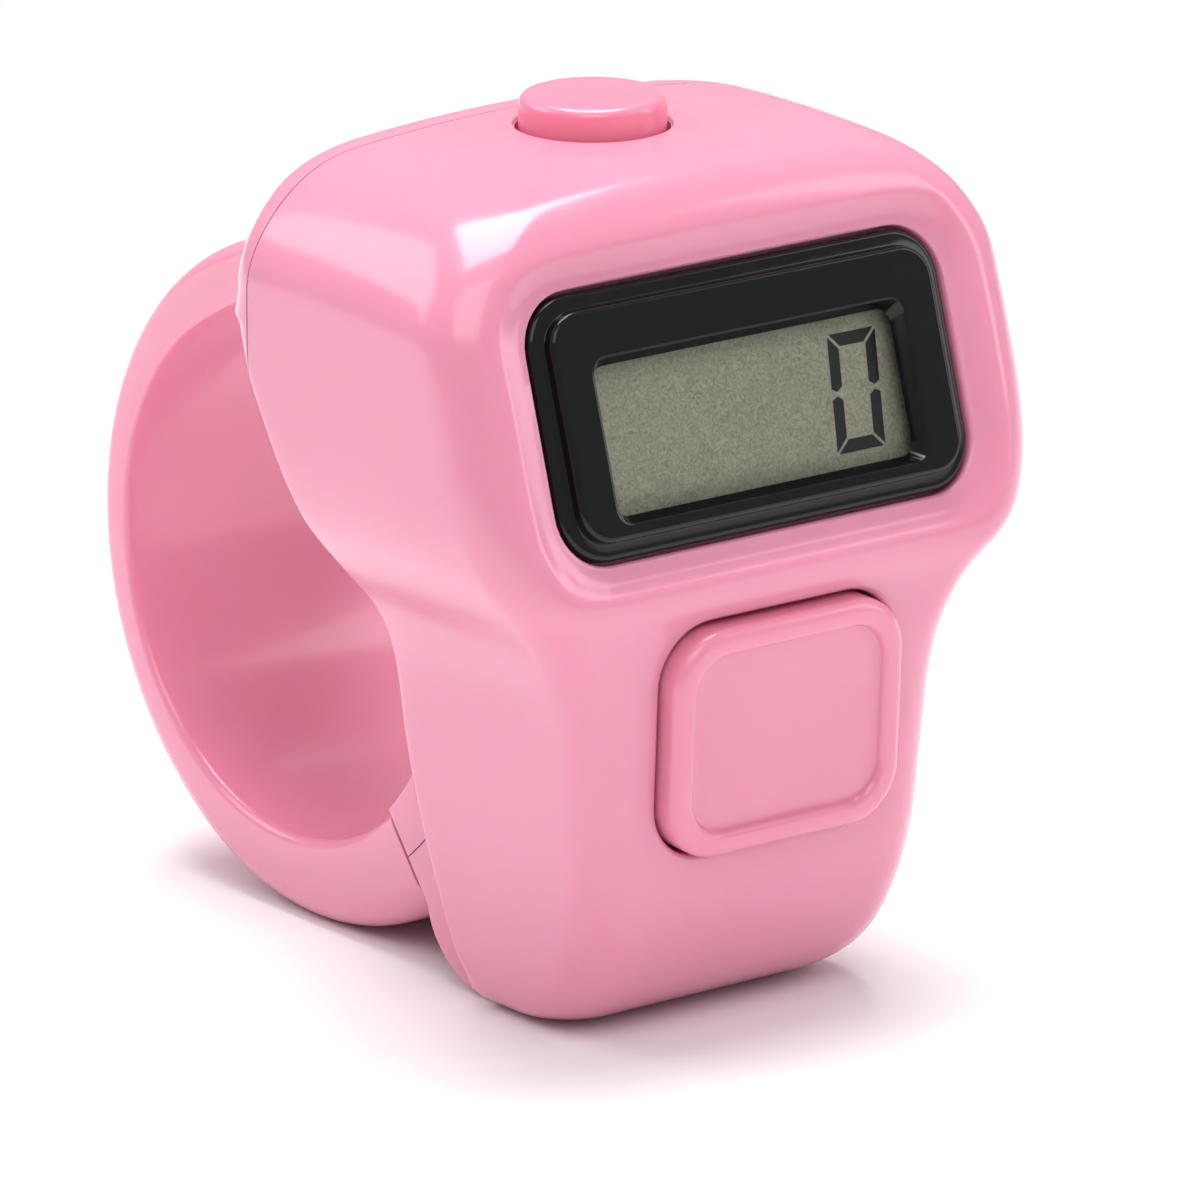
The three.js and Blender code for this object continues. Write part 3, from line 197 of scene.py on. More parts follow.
# Chest, chin and count button
FACE_LOW_Z = DISPLAY_Z - 6
CHEST_Z = FACE_LOW_Z - 3.2
CHEST_STEP = 0.45
CHIN_Z = CHEST_Z - 8.6
COUNT_Z = CHEST_Z - 4
COUNT_TILT = math.radians(-3)
COUNT_SIZE = (11.4, 9.4)
COUNT_CORNER = 2.3
COUNT_PROUD = 1
COUNT_RIM = 1
COUNT_DISH = 0.35
COUNT_EDGE = 0.5
COUNT_FLANGE = 0.8
COUNT_LIP = 0.6
COUNT_LIP_TALL = 1
COUNT_SIDE_START = 0.1
CAVITY_FLOOR = COUNT_Z - COUNT_SIZE[1] / 2 - 1.5

# Soft step from the count button's rim down to its panel: (inwards, height) pairs
COUNT_STEP = ((-0.22, 0), (-0.1, -0.05), (0, -0.17))
COUNT_FILLET = ((0.05, 0.04), (0.12, 0), (0.6, -0.01), (3.2, -0.02))

# Reset button
RESET_F = 11
RESET_RADIUS = 2.95
RESET_PROUD = 1.15
RESET_RECESS = 0.2
RESET_EDGE = 0.42
RESET_FLANGE = 0.6
RESET_LIP = 0.55
RESET_CROWN = 0.03
RESET_CROWN_RADII = (2.2, 1.5, 0.8, 0.2)
FLANGE_EASE = 0.05

# Screws of the rear cover
SCREW_HEAD = 1.25
SCREW_RADIUS = 0.7
SCREW_POINT = 0.6
SCREW_SINK = 0.9
SCREW_PAD = 1.5
SCREW_PAD_RADIUS = 1.35
CROSS_HALF = (0.75, 0.16)
CROSS_FROM = 0.35
COVER_SCREW_X = HEAD_HALF - 3
COVER_SCREW_Z = HEAD_WIDEST_Z - 0.5
COVER_SCREW_LENGTH = 5

# Pan head of a screw: (share of its radius, height) pairs
SCREW_DOME = ((0.96, 0), (1, 0.05), (1, 0.35), (0.93, 0.52), (0.8, 0.65), (0.55, 0.76), (0.16, 0.8))

# Width of the rounded edge that a pocket's cutter leaves, and how high the cutter reaches
POCKET_EASE = 0.22
POCKET_TOP = 4

# How far the other cutters reach past the body, and the far corner of the box behind the seam
FAR = 25
HOLE_REACH = 3
FORK_REACH = 5
BEHIND_SEAM = (20, 10, 45)

# How far a cap's holding loop is drawn in, as a share
CAP_HOLD = 0.02

# Points closer than this, in metres, become one
WELD = 1e-7


def save_size(label, sizes):
    low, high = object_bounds()
    sizes[label] = {"low": [round(v, 6) for v in low], "high": [round(v, 6) for v in high]}


with open("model.json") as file:
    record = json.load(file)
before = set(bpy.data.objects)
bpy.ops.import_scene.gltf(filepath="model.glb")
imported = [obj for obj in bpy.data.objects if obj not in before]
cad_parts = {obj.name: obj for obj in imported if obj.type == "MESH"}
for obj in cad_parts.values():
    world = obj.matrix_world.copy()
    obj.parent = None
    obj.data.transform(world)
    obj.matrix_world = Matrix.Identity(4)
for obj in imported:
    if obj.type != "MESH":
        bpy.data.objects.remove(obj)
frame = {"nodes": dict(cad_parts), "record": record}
sizes = {}
save_size("frame", sizes)
Y_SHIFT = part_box("ring_band")[1].y / MM - RING_RADIUS


# Curves
def clamp(value, low, high):
    return min(max(value, low), high)


def smooth(value, start, end):
    t = clamp((value - start) / (end - start), 0, 1)
    return t * t * (3 - 2 * t)


def bezier(p0, p1, p2, p3, steps):
    points = []
    for i in range(steps + 1):
        t = i / steps
        s = 1 - t
        weights = (s**3, 3 * s * s * t, 3 * s * t * t, t**3)
        points.append(
            tuple(sum(w * p[k] for w, p in zip(weights, (p0, p1, p2, p3))) for k in (0, 1))
        )
    return points


JOINT_OUT = (math.cos(JOINT_ANGLE), -math.sin(JOINT_ANGLE))
JOINT_INTO = (-JOINT_OUT[1], JOINT_OUT[0])


def on_joint(radius, along=0.0):
    return (
        JOINT_OUT[0] * radius + JOINT_INTO[0] * along,
        RING_RADIUS + JOINT_OUT[1] * radius + JOINT_INTO[1] * along,
    )


def bore_radius_at_joint():
    dx = -BORE_CENTRE[0]
    dz = RING_RADIUS - BORE_CENTRE[1]
    half = JOINT_OUT[0] * dx + JOINT_OUT[1] * dz
    return -half + math.sqrt(half * half + BORE_RADIUS**2 - dx * dx - dz * dz)


JOINT_OUTER = on_joint(RING_RADIUS)
JOINT_INNER = on_joint(bore_radius_at_joint())
HINGE = on_joint(RING_RADIUS - HINGE_DEPTH, HINGE_INSET)
HINGE_BLOCK_RADIUS = math.hypot(HINGE[0], RING_RADIUS - HINGE[1])


def rest_arc_f(z):
    return REST_ARC_F - REST_ARC_RADIUS + math.sqrt(REST_ARC_RADIUS**2 - (REST_ARC_Z - z) ** 2)


def bore_f(z):
    return BORE_CENTRE[0] + math.sqrt(BORE_RADIUS**2 - (BORE_CENTRE[1] - z) ** 2)


def display_face_f(z):
    return DISPLAY_F - math.tan(DISPLAY_TILT) * (z - DISPLAY_Z)


CHEST_F = display_face_f(FACE_LOW_Z) - CHEST_STEP


def flank_f(z):
    drop = BORE_CENTRE[1] - z
    front = BORE_CENTRE[0] + BORE_RADIUS
    if drop < 0:
        return front + drop
    return front + FLANK_RADIUS - math.sqrt(FLANK_RADIUS**2 - drop * drop)


def rear_curve():
    points = bezier(
        (FOOT_REAR_F, 0),
        (FOOT_REAR_F - 2.4, 0),
        (JOINT_OUTER[0] + 0.2, JOINT_OUTER[1] - 1.6),
        JOINT_OUTER,
        24,
    )
    points.append(JOINT_INNER)
    for z in np.arange(JOINT_INNER[1] + 0.1, REST_ARC_END_Z, 0.1):
        points.append((min(bore_f(min(z, BORE_CENTRE[1])), rest_arc_f(z)), z))
    points.append((HEAD_REAR_F + LIP_CHAMFER, REAR_LIP_Z))
    points.append((HEAD_REAR_F, REAR_LIP_Z + LIP_CHAMFER))
    points.append((HEAD_REAR_F, HEAD_TOP + 1))
    return np.array(points)


def front_curve():
    lean = math.tan(COUNT_TILT)
    chin_f = CHEST_F + lean * (CHEST_Z - CHIN_Z)
    points = bezier(
        (FOOT_FRONT_F, 0),
        (FOOT_FRONT_F + 3.6, 0.1),
        (chin_f + lean * 4.2, CHIN_Z - 4.2),
        (chin_f, CHIN_Z),
        60,
    )
    bend = (FACE_LOW_Z - CHEST_Z) / 2
    points += bezier(
        (CHEST_F, CHEST_Z),
        (CHEST_F - lean * bend, CHEST_Z + bend),
        (display_face_f(FACE_LOW_Z - bend), FACE_LOW_Z - bend),
        (display_face_f(FACE_LOW_Z), FACE_LOW_Z),
        40,
    )
    points.append((display_face_f(HEAD_TOP + 2), HEAD_TOP + 2))
    return np.array(points)


def width_curve():
    points = bezier(
        (FOOT_HALF, 0),
        (FOOT_HALF + 1.3, 0),
        (SHIN_HALF - 0.25, FOOT_CORNER * 0.45),
        (SHIN_HALF, FOOT_CORNER),
        40,
    )
    points += bezier(
        (WAIST_HALF, WAIST_Z),
        (WAIST_HALF + 0.4, WAIST_Z + 4.4),
        (SHOULDER_HALF - 1.9, SHOULDER_Z - 3.2),
        (SHOULDER_HALF, SHOULDER_Z),
        60,
    )
    points += bezier(
        (SHOULDER_HALF, SHOULDER_Z),
        (SHOULDER_HALF + 0.6, SHOULDER_Z + 1.2),
        (HEAD_HALF, HEAD_WIDEST_Z - 2),
        (HEAD_HALF, HEAD_WIDEST_Z),
        40,
    )
    points += bezier(
        (HEAD_HALF, HEAD_TOP - TOP_CORNER),
        (HEAD_HALF, HEAD_TOP - TOP_CORNER * 0.45),
        (HEAD_HALF - TOP_CORNER * 0.45, HEAD_TOP),
        (HEAD_HALF - TOP_CORNER, HEAD_TOP),
        60,
    )
    return np.array(points)


REAR = rear_curve()
FRONT = front_curve()
WIDTH = width_curve()
SETTLE_ROUNDS = 12


def read(curve, z):
    return float(np.interp(z, curve[:, 1], curve[:, 0]))


def section_height(level, f, x):
    bow = TOP_CROWN * (x / HEAD_HALF) ** 2 + TOP_DOME * ((f - RESET_F) / DOME_REACH) ** 2
    return level - smooth(level, REST_ARC_END_Z, HEAD_TOP) * bow


def at_own_height(level, curve):
    """The curve's place on a bowed section, found by going to and fro between the two."""
    f = read(curve, level)
    for _ in range(SETTLE_ROUNDS):
        f = read(curve, section_height(level, f, 0))
    return f


def rim_pull(level, top, radius):
    rise = clamp(level - (top - radius), 0, radius)
    return radius - math.sqrt(radius * radius - rise * rise)


# Meshes
def to_row(point):
    """A point (x, -f, z) in millimetres as a place in the row frame."""
    return (point[0] * MM, (point[1] + Y_SHIFT) * MM, point[2] * MM)


def new_object(name, verts, faces, place=None):
    """A mesh object from points in millimetres; place is a face's own frame, if they are in one."""
    if place is not None:
        verts = [place @ Vector(v) for v in verts]
    mesh = bpy.data.meshes.new(name)
    mesh.from_pydata([to_row(v) for v in verts], [], faces)
    mesh.validate()
    obj = bpy.data.objects.new(name, mesh)
    bpy.context.scene.collection.objects.link(obj)
    return obj


def hold(loop):
    """A copy of a loop drawn in a little, which keeps the cap inside it flat in the shading."""
    middle = np.mean(np.array(loop), axis=0)
    return [tuple(np.array(p) + (middle - np.array(p)) * CAP_HOLD) for p in loop]


def stack(name, loops, place=None, close=True):
    """Skins a stack of loops with as many points each, and closes both ends with a fan."""
    if close:
        loops = [hold(loops[0]), *loops, hold(loops[-1])]
    count = len(loops[0])
    verts = [tuple(p) for loop in loops for p in loop]
    faces = []
    for k in range(len(loops) - 1):
        for i in range(count):
            a = k * count + i
            b = k * count + (i + 1) % count
            faces.append((a, b, b + count, a + count))
    if close:
        for end in (0, len(loops) - 1):
            hub = len(verts)
            verts.append(tuple(np.mean(np.array(loops[end]), axis=0)))
            for i in range(count):
                a = end * count + i
                b = end * count + (i + 1) % count
                faces.append((hub, b, a) if end == 0 else (hub, a, b))
    return new_object(name, verts, faces, place)


def rounded(width, height, radius, drop=0.0, steps=8):
    """Points of a rounded rectangle, counterclockwise."""
    w, h = width / 2, height / 2
    radius = max(min(radius, w, h), 0.02)
    points = []
    corners = ((w, -h, -90), (w, h, 0), (-w, h, 90), (-w, -h, 180))
    for cx, cy, turn in corners:
        for i in range(steps + 1):
            a = math.radians(turn + 90 * i / steps)
            x = cx - math.copysign(radius, cx) + radius * math.cos(a)
            y = cy - math.copysign(radius, cy) + radius * math.sin(a)
            points.append((x, y - drop))
    return points


def circle(radius, steps=96):
    return [
        (radius * math.cos(2 * math.pi * i / steps), radius * math.sin(2 * math.pi * i / steps))
        for i in range(steps)
    ]


def at_height(points, z):
    return [(p[0], p[1], z) for p in points]


def quarter(start, end, steps=5):
    """(inset, height) pairs round a convex edge from start to end, leaving start along its height."""
    pairs = []
    for i in range(steps + 1):
        a = math.pi / 2 * i / steps
        inset = start[0] + (end[0] - start[0]) * (1 - math.cos(a))
        height = start[1] + (end[1] - start[1]) * math.sin(a)
        pairs.append((inset, height))
    return pairs


def rect_stack(name, size, corner, profile, place, drop=0.0):
    """A rounded rectangle raised along (inset, height) pairs."""
    loops = []
    for inset, height in profile:
        outline = rounded(size[0] - 2 * inset, size[1] - 2 * inset, corner - inset, drop, 10)
        loops.append(at_height(outline, height))
    return stack(name, loops, place)


def round_stack(name, profile, place):
    return stack(name, [at_height(circle(radius), height) for radius, height in profile], place)


def box_object(name, low, high, place=None):
    (x0, y0, z0), (x1, y1, z1) = low, high
    verts = [(x, y, z) for z in (z0, z1) for y in (y0, y1) for x in (x0, x1)]
    faces = [(0, 2, 3, 1), (4, 5, 7, 6), (0, 1, 5, 4), (2, 6, 7, 3), (0, 4, 6, 2), (1, 3, 7, 5)]
    return new_object(name, verts, faces, place)


def side_prism(name, outline, width):
    """A side-view outline given width along X."""
    count = len(outline)
    verts = [(x, -f, z) for x in (-width / 2, width / 2) for f, z in outline]
    faces = [tuple(range(count)), tuple(reversed(range(count, 2 * count)))]
    faces += [(i + count, (i + 1) % count + count, (i + 1) % count, i) for i in range(count)]
    obj = new_object(name, verts, faces)
    fix_normals(obj)
    return obj


def rod(name, centre, radius, width, steps=48):
    outline = [(centre[0] + f, centre[1] + z) for f, z in circle(radius, steps)]
    return side_prism(name, outline, width)


def rod_along_f(name, radius, start, end, x, z, steps=40):
    ring = circle(radius, steps)
    obj = stack(name, [[(x + px, -f, z + pz) for px, pz in ring] for f in (end, start)])
    fix_normals(obj)
    return obj


def fix_normals(obj, weld=False):
    bm = bmesh.new()
    bm.from_mesh(obj.data)
    if weld:
        bmesh.ops.remove_doubles(bm, verts=bm.verts, dist=WELD)
    bmesh.ops.recalc_face_normals(bm, faces=bm.faces)
    bm.to_mesh(obj.data)
    bm.free()


def combine(target, tool, operation="DIFFERENCE"):
    """Joins or cuts two closed objects and drops the tool."""
    modifier = target.modifiers.new(operation, "BOOLEAN")
    modifier.object = tool
    modifier.operation = operation
    modifier.solver = "MANIFOLD"
    bpy.context.view_layer.objects.active = target
    bpy.ops.object.modifier_apply(modifier=modifier.name)
    bpy.data.objects.remove(tool)
    return target


def cut_all(target, tools):
    for tool in tools:
        combine(target, tool)
    return target


def soften(obj, angle=32):
    """Smooth shading, with edges sharper than the angle in degrees kept sharp."""
    obj.data.shade_smooth()
    obj.data.set_sharp_from_angle(angle=math.radians(angle))


def face_place(f, z, lean):
    """The frame of a face: x along the ring's axis, y up the face, z out of it."""
    turn = math.radians(90) - lean
    return Matrix.Translation(Vector((0, -f, z))) @ Matrix.Rotation(turn, 4, "X")


DISPLAY = face_place(DISPLAY_F, DISPLAY_Z, DISPLAY_TILT)
COUNT = face_place(read(FRONT, COUNT_Z), COUNT_Z, COUNT_TILT)
RESET = face_place(RESET_F, HEAD_TOP, math.radians(90))


# Body
def section_loop(half, front, rear, front_edge, rear_edge, corner_steps=12, spans=30):
    """One rounded-rectangle section, counterclockwise seen from above, as (x, y)."""
    loop = []

    def arc(cx, cy, radius, start):
        for i in range(corner_steps + 1):
            a = math.radians(start + 90 * i / corner_steps)
            loop.append((cx + radius * math.cos(a), cy + radius * math.sin(a)))

    def line(start, end, count):
        for i in range(1, count):
            t = i / count
            loop.append((start[0] + (end[0] - start[0]) * t, start[1] + (end[1] - start[1]) * t))

    a = half - front_edge
    b = half - rear_edge
    arc(-a, -front + front_edge, front_edge, 180)
    line((-a, -front), (a, -front), spans)
    arc(a, -front + front_edge, front_edge, 270)
    line((half, -front + front_edge), (half, -rear - rear_edge), 8)
    arc(b, -rear - rear_edge, rear_edge, 0)
    line((b, -rear), (-b, -rear), spans)
    arc(-b, -rear - rear_edge, rear_edge, 90)
    line((-half, -rear - rear_edge), (-half, -front + front_edge), 8)
    return loop


def dish(x, up):
    """How far the face sinks at a place on the display face."""
    reach_x = abs(x) - (DISH_HALF - DISH_CORNER)
    middle = (DISH_HIGH + DISH_LOW) / 2
    reach_y = abs(up - middle) - ((DISH_HIGH - DISH_LOW) / 2 - DISH_CORNER)
    outside = math.hypot(max(reach_x, 0), max(reach_y, 0)) + min(max(reach_x, reach_y), 0)
    return DISH_DEPTH * (1 - smooth(outside - DISH_CORNER, -DISH_SOFT / 2, DISH_SOFT / 2))


def skin_levels():
    spans = (
        (0, FOOT_CORNER, 14),
        (FOOT_CORNER, CHIN_Z, 18),
        (CHIN_Z, CHEST_Z, 24),
        (CHEST_Z, FACE_LOW_Z, 20),
        (FACE_LOW_Z, REST_ARC_END_Z, 22),
        (REST_ARC_END_Z, HEAD_TOP - TOP_CORNER, 16),
        (HEAD_TOP - TOP_CORNER, HEAD_TOP - RIM_EDGE, 14),
        (HEAD_TOP - RIM_EDGE, HEAD_TOP - 0.3, 14),
    )
    found = [0.0]
    for low, high, count in spans:
        found += list(np.linspace(low, high, count + 1))[1:]
    found += [HEAD_TOP - 0.16, HEAD_TOP - 0.07, HEAD_TOP - 0.02, HEAD_TOP]
    found += [JOINT_OUTER[1], JOINT_INNER[1], REAR_LIP_Z, REAR_LIP_Z + LIP_CHAMFER]
    return sorted(set(round(z, 4) for z in found))


def body_block(name):
    loops = []
    for level in skin_levels():
        half = read(WIDTH, level)
        front = at_own_height(level, FRONT) - rim_pull(level, HEAD_TOP, RIM_EDGE)
        rear = at_own_height(level, REAR) + rim_pull(level, HEAD_TOP, HEAD_REAR_EDGE * 0.5)
        depth = front - rear
        share = smooth(level, REST_ARC_END_Z - 1, REAR_LIP_Z + 2)
        rear_edge = min(REAR_EDGE + (HEAD_REAR_EDGE - REAR_EDGE) * share, depth * 0.25)
        front_edge = min(FRONT_EDGE, depth * 0.5)
        flat = section_loop(half, front, rear, front_edge, rear_edge)
        loops.append([(x, y, section_height(level, -y, x)) for x, y in flat])
    top = loops[-1]
    centre = np.mean(np.array(top), axis=0)
    for shrink in np.linspace(0.94, 0.1, 12):
        ring = []
        for x, y, _ in top:
            nx, ny = centre[0] + (x - centre[0]) * shrink, centre[1] + (y - centre[1]) * shrink
            ring.append((nx, ny, section_height(HEAD_TOP, -ny, nx)))
        loops.append(ring)
    block = stack(name, loops)
    cut_all(block, [flank_cut("flank_right", 1), flank_cut("flank_left", -1)])
    return block


def flank_cut(name, side):
    """What is taken off a flank beside the band; the edge it leaves is rounded."""
    inner = BAND_WIDTH / 2 + FLANK_STEP
    loops = []
    for level in np.linspace(-1, BORE_CENTRE[1] + 1, 90):
        half = max(read(WIDTH, max(level, 0)), inner + 2 * REAR_EDGE)
        rear = flank_f(level)
        outline = [(inner, FAR), (inner, -rear)]
        for i in range(9):
            a = math.pi / 2 * i / 8
            pull = 1 - math.cos(a)
            outline.append((half - REAR_EDGE * (1 - math.sin(a)), -rear - REAR_EDGE * pull))
        outline += [(FAR, -rear - REAR_EDGE), (FAR, FAR)]
        loops.append([(side * x, y, level) for x, y in outline[::side]])
    return stack(name, loops)


def sink_dish(obj):
    """Presses the soft dish into the display face of a finished shell."""
    inverse = DISPLAY.inverted()
    out = DISPLAY.to_3x3() @ Vector((0, 0, 1))
    for vertex in obj.data.vertices:
        x, y, z = (c / MM for c in vertex.co)
        local = inverse @ Vector((x, y - Y_SHIFT, z))
        if local.z < DISH_NONE_BELOW:
            continue
        depth = dish(local.x, local.y) * smooth(local.z, DISH_NONE_BELOW, DISH_FULL_ABOVE)
        vertex.co = vertex.co - out * depth * MM


def cavity_half(level):
    lifted = level + SIDE_WALL * smooth(level, REST_ARC_END_Z, HEAD_TOP - SIDE_WALL)
    return min(read(WIDTH, level), read(WIDTH, min(lifted, HEAD_TOP))) - SIDE_WALL


def cavity_block(name):
    """The hollow inside the body, down to its floor behind the count button."""
    top = HEAD_TOP - SIDE_WALL
    loops = []
    for level in np.linspace(CAVITY_FLOOR, top, 50):
        block = HINGE_BLOCK_F if level < HINGE_BLOCK_TOP else 0
        slant = 1 + COVER_SLANT * smooth(level, SHOULDER_Z, HEAD_WIDEST_Z)
        cover = at_own_height(level, REAR) + COVER_WALL * slant
        rear = max(cover, block, flank_f(level) + SIDE_WALL)
        front = at_own_height(level, FRONT) - FRONT_WALL - rim_pull(level, top, CAVITY_TOP_EDGE)
        half = cavity_half(level)
        flat = section_loop(half, front, rear, CAVITY_FRONT_EDGE, CAVITY_REAR_EDGE, 3, 4)
        loops.append([(x, y, section_height(level, -y, x)) for x, y in flat])
    return stack(name, loops)


def plate_pocket(name, side_room, front_room):
    """The plate of the rear cover, or with more room round it the pocket that it lies in."""
    loops = []
    for level in np.linspace(JOINT_INNER[1] - PLATE_BELOW_JOINT, REAR_LIP_Z, 70):
        drop = RING_RADIUS - level
        ring = math.sqrt(max(HINGE_BLOCK_RADIUS**2 - drop * drop, 0))
        plate = read(REAR, level) + PLATE_WALL
        share = smooth(level, HINGE_BLOCK_TOP - 0.6, HINGE_BLOCK_TOP + 2)
        front = ring * (1 - share) + plate * share + front_room
        rear = min(read(REAR, level), front) - HOLE_REACH
        half = read(WIDTH, level) - SIDE_WALL + side_room
        flat = section_loop(half, front, rear, PLATE_CORNER, PLATE_CORNER, 2, 4)
        loops.append([(x, y, level) for x, y in flat])
    return stack(name, loops)


def hinge_point(along, out):
    return (
        HINGE[0] + JOINT_INTO[0] * along + JOINT_OUT[0] * out,
        HINGE[1] + JOINT_INTO[1] * along + JOINT_OUT[1] * out,
    )


def tenon_pocket_tools():
    half = TENON_THICKNESS / 2 + SEAT_GAP
    swing = half + TENON_SWING
    outline = [
        hinge_point(-TENON_POCKET, -half),
        hinge_point(0, -half),
        hinge_point(0, half),
        hinge_point(-HINGE_INSET, swing),
        hinge_point(-TENON_POCKET, swing),
    ]
    width = TENON_WIDTH + 2 * SEAT_GAP
    return [
        side_prism("tenon_pocket", outline, width),
        rod("eye_pocket", HINGE, EYE_RADIUS + SEAT_GAP, width),
        rod("pin_bore", HINGE, PIN_RADIUS + SEAM_GAP, PIN_LENGTH + 2 * SEAT_GAP, 24),
    ]


TONGUE_RADIUS = math.hypot(HINGE[0] - HEAD_REAR_F, TONGUE_HEIGHT - HINGE[1])


def tongue_outline(thickness, start, end, steps=24):
    def arc(radius, a, b):
        found = []
        for i in range(steps + 1):
            f = a + (b - a) * i / steps
            found.append((f, HINGE[1] + math.sqrt(radius * radius - (f - HINGE[0]) ** 2)))
        return found

    low = arc(TONGUE_RADIUS - thickness / 2, start, end)
    high = arc(TONGUE_RADIUS + thickness / 2, end, start)
    return low + high


def flare(steps=6):
    """(outwards, height) pairs that round the edge a cutter leaves in the face at height 0."""
    pairs = []
    for i in range(steps + 1):
        a = math.pi / 2 * i / steps
        pairs.append((POCKET_EASE * (1 - math.cos(a)), -POCKET_EASE * (1 - math.sin(a))))
    return pairs + [(POCKET_EASE, POCKET_TOP)]


def eased(size, corner, room, depth, place, name):
    """A straight cutter for a rounded rectangle that leaves a rounded edge."""
    profile = [(-room, -depth)] + [(-room - out, height) for out, height in flare()]
    return rect_stack(name, size, corner, profile, place)


def eased_round(radius, depth, place, name):
    profile = [(radius, -depth)] + [(radius + out, height) for out, height in flare()]
    return round_stack(name, profile, place)


def screw_stations():
    return (-COVER_SCREW_X, COVER_SCREW_X)


COVER_SEAT_F = rest_arc_f(COVER_SCREW_Z) + SCREW_SINK
COVER_PAD_F = COVER_SEAT_F + SCREW_PAD


def behind_seam(name, gap=0.0):
    """The box behind the seam, above the seam's lower end."""
    x, y, z = BEHIND_SEAM
    return box_object(name, (-x, -SEAM_F - gap, SEAM_LOW_Z), (x, y, z))


def make_front_shell():
    shell = body_block("shell_skin")
    combine(shell, cavity_block("cavity"))
    window = [side - 2 * BEZEL_LEDGE for side in BEZEL_SIZE]
    window_depths = [(0, -BOARD_DEPTH), (0, -BEZEL_DEPTH / 2)]
    reset_reach = [(RESET_RADIUS + SLIDE_GAP, height) for height in (-HOLE_REACH, HOLE_REACH)]
    tools = [
        behind_seam("seam", SEAM_GAP),
        plate_pocket("plate_room", PLATE_SIDE_ROOM + SEAM_GAP, SEAM_GAP),
        rect_stack("window", window, BEZEL_LEDGE, window_depths, DISPLAY),
        eased(BEZEL_SIZE, BEZEL_CORNER, SLIDE_GAP, BEZEL_DEPTH + SEAT_GAP, DISPLAY, "bezel_pocket"),
        eased(COUNT_SIZE, COUNT_CORNER, SLIDE_GAP, FRONT_WALL + COUNT_FLANGE, COUNT, "count_hole"),
        round_stack("reset_hole", reset_reach, RESET),
        eased_round(RESET_RADIUS + RESET_RECESS, RESET_RECESS, RESET, "reset_recess"),
    ]
    cut_all(shell, tools + tenon_pocket_tools())
    sink_dish(shell)
    return shell


def make_rear_cover():
    cover = body_block("cover_skin")
    combine(cover, cavity_block("cavity"))
    region = plate_pocket("plate", PLATE_SIDE_ROOM, 0)
    combine(region, behind_seam("strip"), "UNION")
    combine(cover, region, "INTERSECT")
    behind = HEAD_REAR_F - HOLE_REACH
    for x in screw_stations():
        rods = (
            ("pad", SCREW_PAD_RADIUS, COVER_SEAT_F + SEAT_GAP, COVER_PAD_F),
            ("sink", SCREW_HEAD + SLIDE_GAP, behind, COVER_SEAT_F),
            ("hole", SCREW_RADIUS + SLIDE_GAP, behind, COVER_PAD_F + SCREW_PAD),
        )
        pad, sink, hole = (rod_along_f(*rod, x, COVER_SCREW_Z) for rod in rods)
        combine(cover, pad, "UNION")
        cut_all(cover, [sink, hole])
    room = 2 * SLIDE_GAP
    slot = tongue_outline(TONGUE_THICKNESS + 2 * room, behind, SEAM_F + HOLE_REACH)
    cut_all(cover, [side_prism("slot", slot, TONGUE_WIDTH + 2 * room)] + tenon_pocket_tools())
    return cover


# Band
def band_edges():
    """Matching points along the band's outer and inner faces, from the joint to the neck's end."""
    start = on_joint(RING_RADIUS, -JOINT_GAP)
    last = on_joint(bore_radius_at_joint(), -JOINT_GAP)
    root_rise = math.sqrt(BORE_RADIUS**2 - (NECK_ROOT_F - BORE_CENTRE[0]) ** 2)
    inner_end = (NECK_ROOT_F, BORE_CENTRE[1] + root_rise)
    outer_from = math.atan2(start[1] - RING_RADIUS, start[0])
    outer_to = math.atan2(math.sqrt(RING_RADIUS**2 - NECK_STEP_F**2), NECK_STEP_F) - 2 * math.pi
    inner_from = math.atan2(last[1] - BORE_CENTRE[1], last[0] - BORE_CENTRE[0])
    inner_to = math.atan2(inner_end[1] - BORE_CENTRE[1], inner_end[0] - BORE_CENTRE[0]) - 2 * math.pi
    outer, inner = [], []
    ring_steps, neck_steps = 150, 26
    for i in range(ring_steps + 1):
        t = i / ring_steps
        a = outer_from + (outer_to - outer_from) * t
        b = inner_from + (inner_to - inner_from) * t
        outer.append((RING_RADIUS * math.cos(a), RING_RADIUS + RING_RADIUS * math.sin(a)))
        inner.append(
            (BORE_CENTRE[0] + BORE_RADIUS * math.cos(b), BORE_CENTRE[1] + BORE_RADIUS * math.sin(b))
        )
    neck_end = HEAD_REAR_F - SEAT_GAP
    neck_back = neck_end - NECK_LENGTH
    crest = bezier(
        (NECK_STEP_F, RING_RADIUS + math.sqrt(RING_RADIUS**2 - NECK_STEP_F**2)),
        (NECK_STEP_F + 1.1, RING_RADIUS * 2 - 0.35),
        (neck_back - 0.9, NECK_TOP - 1.2),
        (neck_back, NECK_TOP - 0.6),
        neck_steps // 2,
    )
    crest += [
        (neck_back + NECK_LENGTH * i / 10, NECK_TOP - 0.6 + 0.6 * i / 10) for i in range(1, 11)
    ]
    under = bezier(
        inner_end,
        (inner_end[0] + 2.6, inner_end[1] + 1.8),
        (neck_back + 0.4, NECK_TOP - NECK_THICKNESS - 0.9),
        (neck_end, NECK_TOP - NECK_THICKNESS),
        len(crest) - 1,
    )
    return outer + crest[1:], inner + under[1:]


